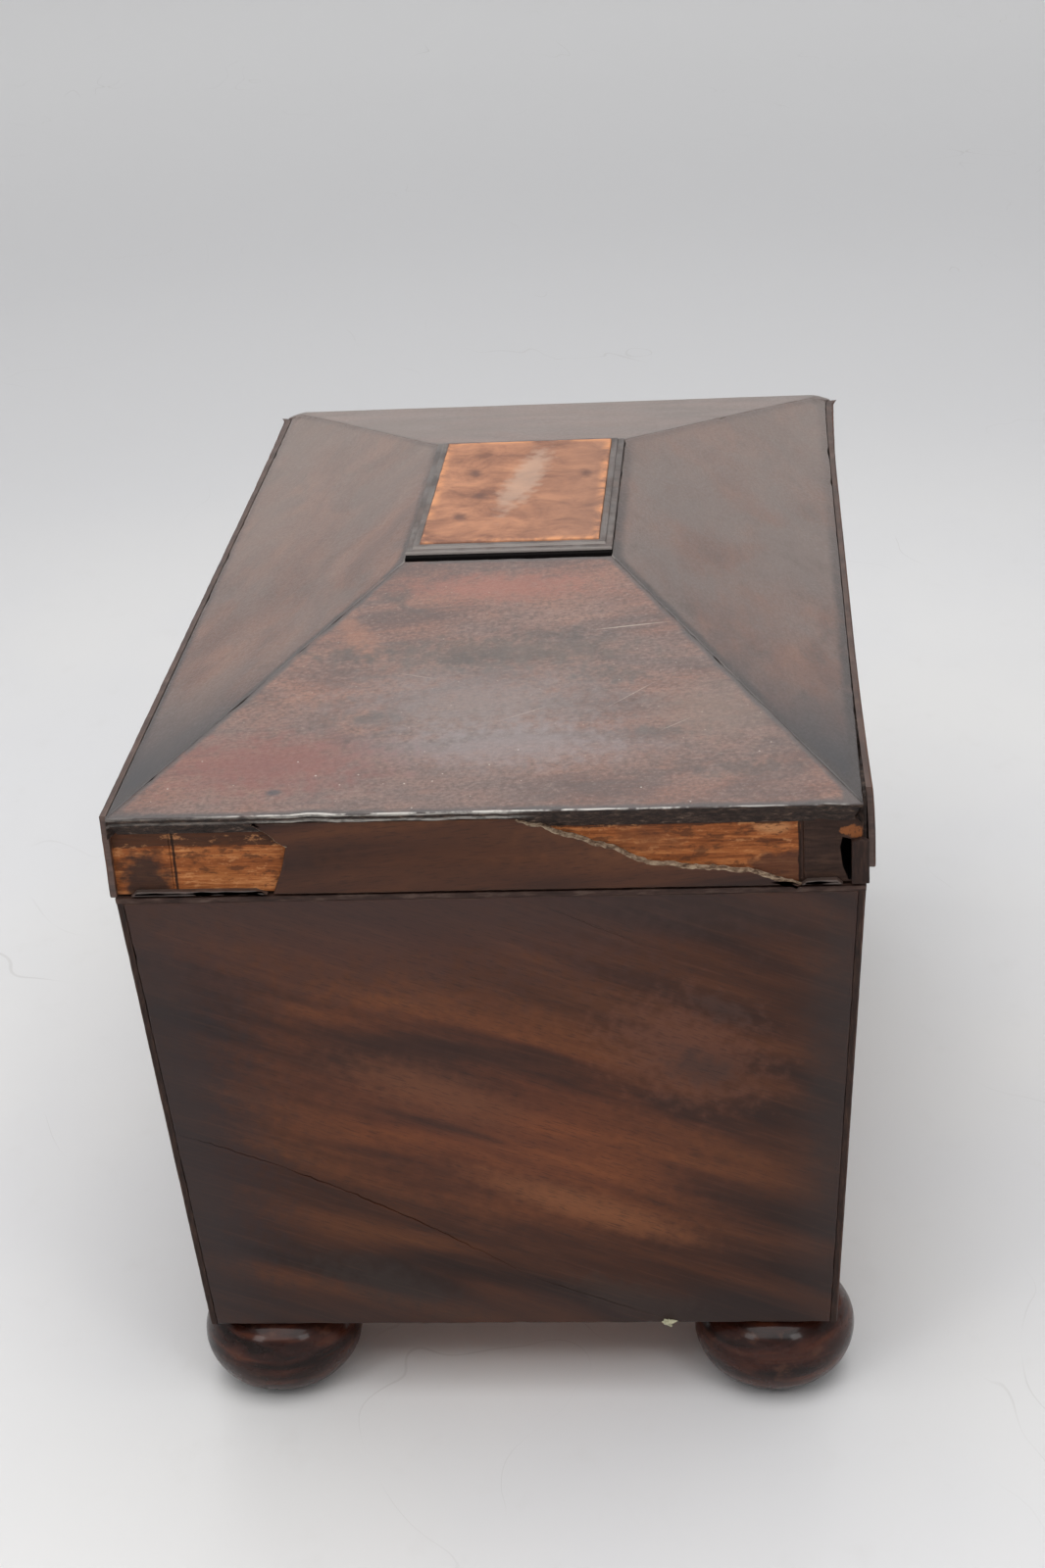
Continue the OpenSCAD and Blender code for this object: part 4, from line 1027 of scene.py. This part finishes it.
def near_slope_marks(s, colour):
    """What shows on the left slope: reddish corners, a painted grey sheen, spots, dust and scratches."""
    normal = Plane(slope_corners(-X, 0.0)[0]).n

    def lay(colour, share, centre, size, tint, ragged=1.2, along=Y, edge=0.9):
        x, y = centre
        rise = (BROW.x + x * MM) / (BROW.x - TOP.x)
        place = Vector((x * MM, y * MM, BROW_Z + (TOP_Z - BROW_Z) * rise))
        return s.lay(colour, tint, s.blot(place, size, along, normal, edge, ragged), share)

    mitre = (BROW.x - TOP.x, BROW.y - TOP.y, 0)
    # Colour patches; the first two, grey ones, are painted sheen.
    for overlay in ((0.6, (-80, 2), (38, 16, 20), (0.20, 0.170, 0.162)),
                 (0.55, (-93, -4), (36, 10, 20), (0.27, 0.225, 0.222)),
                 (0.5, (-84, -40), (16, 14, 20), (0.22, 0.150, 0.115)),
                 (0.75, (-97, 38), (30, 13, 20), (0.195, 0.054, 0.040)),
                 (0.7, (-44, 0), (26, 7, 20), (0.31, 0.100, 0.062)),
                 (0.5, (-58, 27), (16, 4, 20), (0.34, 0.14, 0.075), 1.2, mitre),
                 (0.6, (-65, 0), (36, 7, 20), (0.085, 0.065, 0.052), 2.2)):
        colour = lay(colour, *overlay)
    for stain, size in (((-65, 28), (9, 3.2)), ((-67, 6), (8, 3.0)), ((-60, -9), (11, 3.0)),
                        ((-73, -22), (9, 3.5)), ((-84, 22), (7, 2.2)), ((-90, -30), (9, 2.4)),
                        ((-101, -45), (12, 3.0))):
        colour = lay(colour, 0.55, stain, (*size, 20), (0.052, 0.040, 0.034), 2.4)
    colour = lay(colour, 0.85, (-105, 36), (1.9, 1.3, 6), (0.04, 0.035, 0.04), 0.9, edge=0.7)
    colour = s.lay(colour, (0.055, 0.04, 0.035), s.specks(9.0, 0.7, 0.35), 0.6)
    colour = lay(colour, 0.85, (-58, -24), (9, 0.18, 3), (0.46, 0.38, 0.31), 0.3, (-0.15, 1, 0), 0.7)
    for scratch, length, width, lean in (((-84, -6), 7, 0.14, -0.5), ((-79, -25), 9, 0.13, -0.9),
                                         ((-72, 14), 6, 0.12, 0.3), ((-88, -33), 5, 0.14, -0.7)):
        colour = lay(colour, 0.6, scratch, (length, width, 3), (0.40, 0.33, 0.28), 0.3, (lean, 1, 0), 0.8)
    dust = s.specks(2.2, 0.22, 0.5)
    low = s.level(s.axis("X"), -85 * MM, -102 * MM, 0.35, 1.0)
    return s.lay(colour, (0.62, 0.55, 0.48), s.times(dust, low), 0.8)


def side_slope_marks(s, colour):
    """Lighter, duller colour than on the left slope and lighter still towards the right end: painted sheen.
    The front slope is a little darker: painted shade. Darker and bluish towards the left end.
    """
    # Painted sheen: lighter overall, and more so towards the right end.
    colour = s.mix(0.30, colour, (0.25, 0.175, 0.145))
    x = s.axis("X")
    colour = s.mix(s.level(x, -60 * MM, 90 * MM, 0.0, 0.35), colour, (0.34, 0.265, 0.225))
    # Painted shade: the front slope darker than the back one.
    y = s.axis("Y")
    colour = s.mix(s.level(y, -16 * MM, -30 * MM, 0.0, 0.16), colour, (0.070, 0.062, 0.064))
    low = s.level(x, -52 * MM, -103 * MM, 0.0, 0.95)
    return s.mix(low, colour, (0.042, 0.042, 0.046))


def slopes(edge, fibre):
    """Four sloping panels that meet in worn mitres."""
    looks = {"lid_left_slope": (-X, tilted(Y, X, -6), 0.4, 0.55, 0.95, 1.7, near_slope_marks),
             "lid_right_slope": (X, tilted(Y, X, 8), 0.7, 0.2, 0.5, 2.0, side_slope_marks),
             "lid_front_slope": (-Y, tilted(X, Y, 9), 0.8, 0.14, 0.3, 3.0, side_slope_marks),
             "lid_back_slope": (Y, tilted(X, Y, -14), 0.6, 0.16, 0.3, 2.2, side_slope_marks)}
    for seed, (node, (side, along, *wear)) in enumerate(looks.items()):
        corners, inner = slope_corners(side, 2.1 * MM if side.x else 0.0)
        skin = slope_mahogany(node, along, Plane(corners).n, 0.13 * (seed + 1), *wear)
        piece = plate(node + ".worn", corners, inner, [skin, edge, fibre], "lid",
                      wobble=0.12 * MM, chips=0.9 * MM, rows=5, ragged=0.14 * MM,
                      surface=lambda p: 0.07 * MM * wander(p, 21 * MM) + 0.02 * MM * wander(p, 8 * MM))
        round_far_corners(piece)
        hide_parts(node)


def end_outline(side, points):
    """Corners in the plane of the rim's end, from (Y, height above the rim's underside)."""
    return [Vector((side.x * RIM.x, y * MM, RIM_Z + h * MM)) for y, h in points]


def end_rim_veneers(skin, wall, fibre, corner, bead):
    """The right end is whole; the left one is torn away at both sides, but for a scrap."""
    tall = (BROW_Z - RIM_Z) / MM - 2.1
    wide = CORE.y / MM
    corners = end_outline(X, ((-wide, 0), (wide, 0), (wide, tall), (-wide, tall)))
    whole = plate("lid_right_rim_veneer.worn", corners, behind(corners, (-VENEER_T, 0, 0)),
                  [skin, wall, fibre], "lid", chips=0.4 * MM)
    round_far_corners(whole)
    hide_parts("lid_right_rim_veneer")
    tear = ((37, 0), (-54, 0), (-45, 3), (-28, 5), (-18, 9.5), (-8, 13), (-6, tall), (40, tall), (38, 12),
            (34, 9), (35, 5))
    corners = end_outline(-X, tear)
    torn = plate("lid_left_rim_veneer.torn", corners, behind(corners, (VENEER_T, 0, 0)), [skin, wall, fibre],
                 "lid", step=2.2 * MM, torn=(1, 2, 3, 4, 5, 7, 8), wobble=0.08 * MM)
    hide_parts("lid_left_rim_veneer")
    scraps = {"corner": ((-62.5, 0), (-65.5, 0), (-65.5, 8), (-64, 8.5), (-62.5, 8)),
              "back_bead": ((62, 0), (38, 0), (40, 0.8), (61, 0.9)),
              "front_bead": ((-54, 0), (-61, 0), (-60, 0.9), (-55, 0.7))}
    for scrap, points in scraps.items():
        corners = end_outline(-X, points)
        look = corner if scrap == "corner" else bead
        plate("lid_left_rim_veneer." + scrap, corners, behind(corners, (VENEER_T, 0, 0)), [look, look, look],
              "lid", step=1.5 * MM, spacing=0.9 * MM)


def curl(x, z=BROW_Z):
    """How far the front rim veneer has sprung away at x, read from its CAD shape, and less at its top."""
    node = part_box("lid_front_rim_veneer")
    out = -RIM.y - node[0].y
    start = -34 * MM
    rise = (z - RIM_Z) / (BROW_Z - RIM_Z)
    return -out * max(0.0, (x - start) / (node[0].x - start)) ** 2 * (1 - 0.45 * rise ** 3)


def long_rim_veneers(skins, wall, fibre):
    """Front and back rim veneers; the front one has come loose towards the left."""
    for side, node in ((-Y, "lid_front_rim_veneer"), (Y, "lid_back_rim_veneer")):
        low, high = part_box(node)
        right = Vector((-side.y, side.x, 0))
        ends = sorted((low.x * right.x, high.x * right.x))
        corners = [side * RIM.y + right * a + Z * z for a, z in
                   ((ends[0], RIM_Z), (ends[1], RIM_Z), (ends[1], BROW_Z), (ends[0], BROW_Z))]
        if side.y < 0:
            foot = corners.pop(0)
            corners = [foot + X * 1.2 * MM] + corners + [foot + Z * 1.2 * MM, foot + (X + Z) * 0.35 * MM]
        piece = plate(node + ".worn", corners, behind(corners, -side * VENEER_T), [skins[node], wall, fibre],
                      "lid", step=2.4 * MM, chips=0.5 * MM)
        if side.y < 0:
            for v in piece.data.vertices:
                v.co.y += curl(v.co.x, v.co.z)
        else:
            open_knuckle_rooms(piece)
        round_far_corners(piece)
        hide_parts(node)


def old_glue(skin):
    """Glue and splinters left in the gap behind the loose front veneer."""
    face = CORE.y - 0.05 * MM
    ends = (-52 * MM, -(RIM.x - 3.4 * MM))
    along = [ends[0] + (ends[1] - ends[0]) * k / 8 for k in range(9)]
    corners = [Vector((x, curl(x) - CORE.y - 0.02 * MM, BROW_Z - 0.7 * MM)) for x in reversed(along)]
    corners += [Vector((ends[0], -face, BROW_Z - 0.7 * MM)), Vector((ends[1], -face, BROW_Z - 0.7 * MM))]
    plate("lid_front_rim_veneer.glue", corners, behind(corners, (0, 0, RIM_Z - BROW_Z + 3 * MM)), [skin] * 3,
          "lid", step=0.7 * MM, spacing=0.8 * MM, wobble=0.03 * MM,
          surface=lambda p: 0.5 * MM * wander(p, 1.4 * MM) + 0.5 * MM * wander(p, 6 * MM))


def fibres(p):
    """Relief of a face from which the veneer has torn fibres, in metres."""
    fine = 0.16 * MM * wander((p.x, p.y / 9, p.z), 0.5 * MM)
    return fine + 0.14 * MM * wander((p.x, p.y / 6, p.z), 1.7 * MM)


def rim_boards(bare, board, dark):
    """The pine core of the rim. Its left end is laid bare, with a notch in the front board's end grain; the
    notch's walls are near-black, painted shade.
    """
    low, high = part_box("lid_left_rim_board")
    corners = [Vector((low.x, y, z)) for y, z in
               ((high.y, low.z), (low.y, low.z), (low.y, high.z), (high.y, high.z))]
    piece = plate("lid_left_rim_board.bare", corners, behind(corners, (high.x - low.x, 0, 0)),
                  [bare, board, board], "lid", step=0.8 * MM, spacing=1.0 * MM, surface=fibres)
    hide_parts("lid_left_rim_board")
    round_far_corners(soften("lid_right_rim_board", board, 0.2 * MM))
    round_far_corners(soften("lid_back_rim_board", bare, 0.2 * MM, clamp=True))
    fresh_chip = (low.x, -63.5 * MM, RIM_Z + 9.5 * MM)
    chipped = pine("chipped_pine", chip=fresh_chip)
    front = soften("lid_front_rim_board", chipped, 0.2 * MM, clamp=True)
    notch = ((-61, 8.5), (-60.6, 6.5), (-61, 3), (-62, 0.3), (-63, 0.5), (-62.6, 4), (-62.7, 8))
    outline = [(y * MM, RIM_Z + h * MM) for y, h in notch]
    # The cut walls take the near-black skin: painted shade inside the notch.
    cut(front, outline, X, low.x - 3 * MM, low.x + 7 * MM, dark)
    round_far_corners(front)


def lid_top(moulding, tablet, dark):
    """Top board, plate, stepped moulding and the bare tablet. The tablet's fillet is near-black: painted
    shadow of the gap under the moulding.
    """
    round_far_corners(soften("lid_top_board", moulding, 0.2 * MM))
    # Near-black fillet: painted shadow of the gap under the moulding.
    soften("tablet_fillet", dark, 0.2 * MM)
    soften("tablet_moulding", moulding, 0.27 * MM)
    low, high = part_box("tablet_block")
    corners = [Vector((x, y, high.z))
               for x, y in ((low.x, low.y), (high.x, low.y), (high.x, high.y), (low.x, high.y))]
    piece = plate("tablet_block.worn", corners, behind(corners, (0, 0, low.z - high.z)), [tablet] * 3,
                  "lid", wobble=0.12 * MM, step=2.5 * MM,
                  surface=lambda p: 0.05 * MM * wander(p, 9 * MM))
    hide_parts("tablet_block")


def inner_lids(inner, bone_skin):
    """Two loose-fitting lids with turned knobs."""
    for hand in ("left", "right"):
        soften(hand + "_inner_lid_board", inner, 0.5 * MM, sharp=60)
        node = hand + "_inner_lid_knob"
        low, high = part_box(node)
        board_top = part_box(hand + "_inner_lid_board")[1].z
        centre = Vector(((low.x + high.x) / 2, (low.y + high.y) / 2, 0))
        collar, ball, stem = (high.x - low.x) / 2, 3.2 * MM, 1.5 * MM
        profile = [(stem, low.z), (stem, board_top), (collar - 0.2 * MM, board_top),
                   (collar, board_top + 0.3 * MM), (collar, board_top + 0.8 * MM),
                   (collar - 0.5 * MM, board_top + 1.2 * MM), (stem + 0.5 * MM, board_top + 1.6 * MM),
                   (stem, board_top + 2.6 * MM), (stem, board_top + 3.6 * MM)]
        profile += arc((0, high.z - ball), ball, -58, 86, 18)
        knob = turned(node + ".turned", profile, centre, bone_skin, hand + "_inner_lid", 48)
        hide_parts(node)


# ---- Everything else keeps its CAD shape ----


def dress(skins):
    """Gives each CAD node that still shows a material by the record's slot."""
    for part in frame["record"]["subparts"]:
        node = frame["nodes"][part["node"]]
        if not node.hide_render:
            for slot in node.material_slots:
                slot.link = "OBJECT"
                slot.material = skins[part["material_slot"]]


# ---- Stage, lights and camera ----


def studio_floor():
    """A pale bowl: flat under the caddy, and curved up far away on all sides."""
    flat, bend, wall, sides = 1.15, 0.8, 1.3, 96
    profile = [(flat * k / 6, 0.0) for k in range(1, 7)]
    profile += [(flat + bend * math.sin(t), bend * (1 - math.cos(t))) for t in
                (math.pi / 2 * k / 16 for k in range(1, 17))] + [(flat + bend, wall)]
    verts = [(0, 0, 0)]
    faces = []
    for ring, (radius, z) in enumerate(profile):
        verts += [(radius * math.cos(2 * math.pi * k / sides), radius * math.sin(2 * math.pi * k / sides), z)
                  for k in range(sides)]
        here = 1 + ring * sides
        for k in range(sides):
            n = (k + 1) % sides
            faces.append((0, here + k, here + n) if ring == 0
                         else (here - sides + k, here + k, here + n, here - sides + n))
    mesh = bpy.data.meshes.new("floor")
    mesh.from_pydata(verts, [], faces)
    mesh.polygons.foreach_set("use_smooth", [True] * len(mesh.polygons))
    floor = bpy.data.objects.new("floor", mesh)
    bpy.context.scene.collection.objects.link(floor)
    s = Shader("studio_floor", Specular_IOR_Level=0.3)
    cloud = s.noise(s.grain(X, Z, (160, 110, 100)), 3.0)
    smudge = s.noise(s.grain(X, Z, (14, 10, 10)), 5.0, 0.6)
    colour = s.mix(s.level(cloud, 0.35, 0.65), (0.755, 0.755, 0.765), (0.79, 0.785, 0.78))
    colour = s.mix(s.level(smudge, 0.55, 0.8, 0.0, 0.12), colour, (0.62, 0.60, 0.57))
    # Painted light and shade: darker from 0.22 m out, and lighter again from 0.75 m towards the wall.
    away = s.add("ShaderNodeVectorMath", {0: s.place}, operation="LENGTH").outputs["Value"]
    colour = s.mix(s.level(away, 0.22, 0.55), colour, (0.67, 0.67, 0.68))
    colour = s.mix(s.level(away, 0.75, 1.35), colour, (0.87, 0.87, 0.875))
    lines = s.noise(s.grain((1, 0.4, 0), Z, (70, 38, 30), 0.3), 1.5, 0.4, 0.6)
    hair = s.level(s.math("ABSOLUTE", s.minus(lines, 0.5)), 0.0022, 0.0008)
    some = s.level(s.noise(s.grain(X, Z, (60, 60, 60), 5.0), 2.0), 0.56, 0.66)
    colour = s.mix(s.times(s.times(hair, some), 0.22), colour, (0.42, 0.40, 0.38))
    mesh.materials.append(s.finish(colour, 0.6))


# Lights: name, place, target, width, height, power
SOFTBOXES = (("overhead", (-0.45, 0.0, 1.35), (-0.38, 0, 0), 1.5, 1.7, 17),
             ("behind", (0.9, 0.12, 1.25), (-0.09, -0.008, 0.13), 0.85, 0.65, 3.4),
             ("left_fill", (-0.75, 0.55, 0.8), (0, 0, 0.08), 0.25, 0.25, 0.9),
             ("right_fill", (-0.75, -0.55, 0.8), (0, 0, 0.08), 0.25, 0.25, 0.9))
CAMERA_PLACE = (-0.51487, -0.04773, 0.33006)
CAMERA_TURN = (64.2555, 3.3352, -85.937)
CAMERA_LENS = 61.572


def softbox(name, place, target, width, height, power):
    light = bpy.data.lights.new(name, "AREA")
    light.shape = "RECTANGLE"
    light.size, light.size_y = width, height
    light.energy = power
    lamp = bpy.data.objects.new(name, light)
    bpy.context.scene.collection.objects.link(lamp)
    lamp.location = place
    lamp.rotation_euler = (Vector(target) - Vector(place)).to_track_quat("-Z", "Y").to_euler()
    lamp.visible_camera = False


def lights():
    world = bpy.data.worlds.new("studio")
    world.use_nodes = True
    background = world.node_tree.nodes["Background"]
    background.inputs["Color"].default_value = grey(0.85)
    background.inputs["Strength"].default_value = 0.29
    bpy.context.scene.world = world
    for lamp in SOFTBOXES:
        softbox(*lamp)


def camera():
    data = bpy.data.cameras.new("camera")
    data.lens = CAMERA_LENS
    lens = bpy.data.objects.new("camera", data)
    bpy.context.scene.collection.objects.link(lens)
    lens.location = CAMERA_PLACE
    lens.rotation_euler = [math.radians(a) for a in CAMERA_TURN]
    bpy.context.scene.camera = lens


# ---- Build ----

camera()
lights()
studio_floor()
bpy.context.scene.view_settings.view_transform = "Standard"

edge_skin = rough_edge("rough_edge")
sawn_skin = edge_grain("edge_grain")
# Near-black painted shade, for the notch's walls and the tablet's fillet.
shadow_black_skin = Shader("shadow_black", Specular_IOR_Level=0.1, Roughness=0.9).finish((0.004, 0.003, 0.003, 1))
pale_wisp = Shader("pale_wisp", Roughness=0.9).finish((0.42, 0.40, 0.27, 1))
bead_skin = dark_edge("worn_bead", 0.7, (0.085, 0.062, 0.052))
fibre_skin = pale_fibre("pale_fibre")
moulding_skin = dark_edge("dark_moulding")
inner_skin = plain_mahogany("plain_mahogany")
foot_skin = turned_mahogany("turned_mahogany")
brass_skin = old_brass("old_brass")
foil_skin = lining_foil("lining_foil")
bone_skin = bone("bone")
pine_skin = pine("pine_core")
tablet_skin = bare_tablet("bare_tablet")
red_band = (Vector((-RIM.x, 0.008, RIM_Z + 7 * MM)), (46, 9, 20), (0.078, 0.028, 0.013), 1.0, None)
rim_skins = {"ends": flame_mahogany("rim_ends", tilted(Y, -Z, 5), X, 0.9, 0.84, patches=[red_band],
                                    gloss=0.6),
             "lid_front_rim_veneer": flame_mahogany("rim_front", X, Y, 1.1),
             "lid_back_rim_veneer": flame_mahogany("rim_back", X, Y, 1.3)}

case_walls(sawn_skin, fibre_skin)
# Near-black, nearly matt banding: its dark colour is partly painted shade of the gap at the seam.
banding_skin = dark_edge("top_banding", 0.5, (0.034, 0.020, 0.016), gloss=0.05)
soften("top_edge_banding", banding_skin, 0.15 * MM, clamp=True)
soften("partition_rail", moulding_skin, 0.3 * MM, clamp=True)
crumb(pale_wisp)
feet(foot_skin)
case_inside(inner_skin, brass_skin, foil_skin)
slopes(edge_skin, fibre_skin)
end_rim_veneers(rim_skins["ends"], edge_skin, fibre_skin, sawn_skin, bead_skin)
long_rim_veneers(rim_skins, dark_edge("worn_edge", 0.6, (0.11, 0.060, 0.043)), fibre_skin)
old_glue(rough_edge("old_glue"))
rim_boards(torn_pine("torn_pine"), pine_skin, shadow_black_skin)
lid_top(dark_edge("tablet_moulding", 0.7, (0.20, 0.178, 0.165), 0.75), tablet_skin, shadow_black_skin)
soften("lid_lining_panel", inner_skin, 0.2 * MM)
inner_lids(inner_skin, bone_skin)
dress({"pine_core": pine_skin, "flame_mahogany": rim_skins["ends"], "plain_mahogany": inner_skin,
       "dark_moulding": moulding_skin, "turned_mahogany": foot_skin, "lining_foil": foil_skin,
       "old_brass": brass_skin, "spring_steel": spring_steel("spring_steel"), "bare_tablet": tablet_skin,
       "bone": bone_skin})
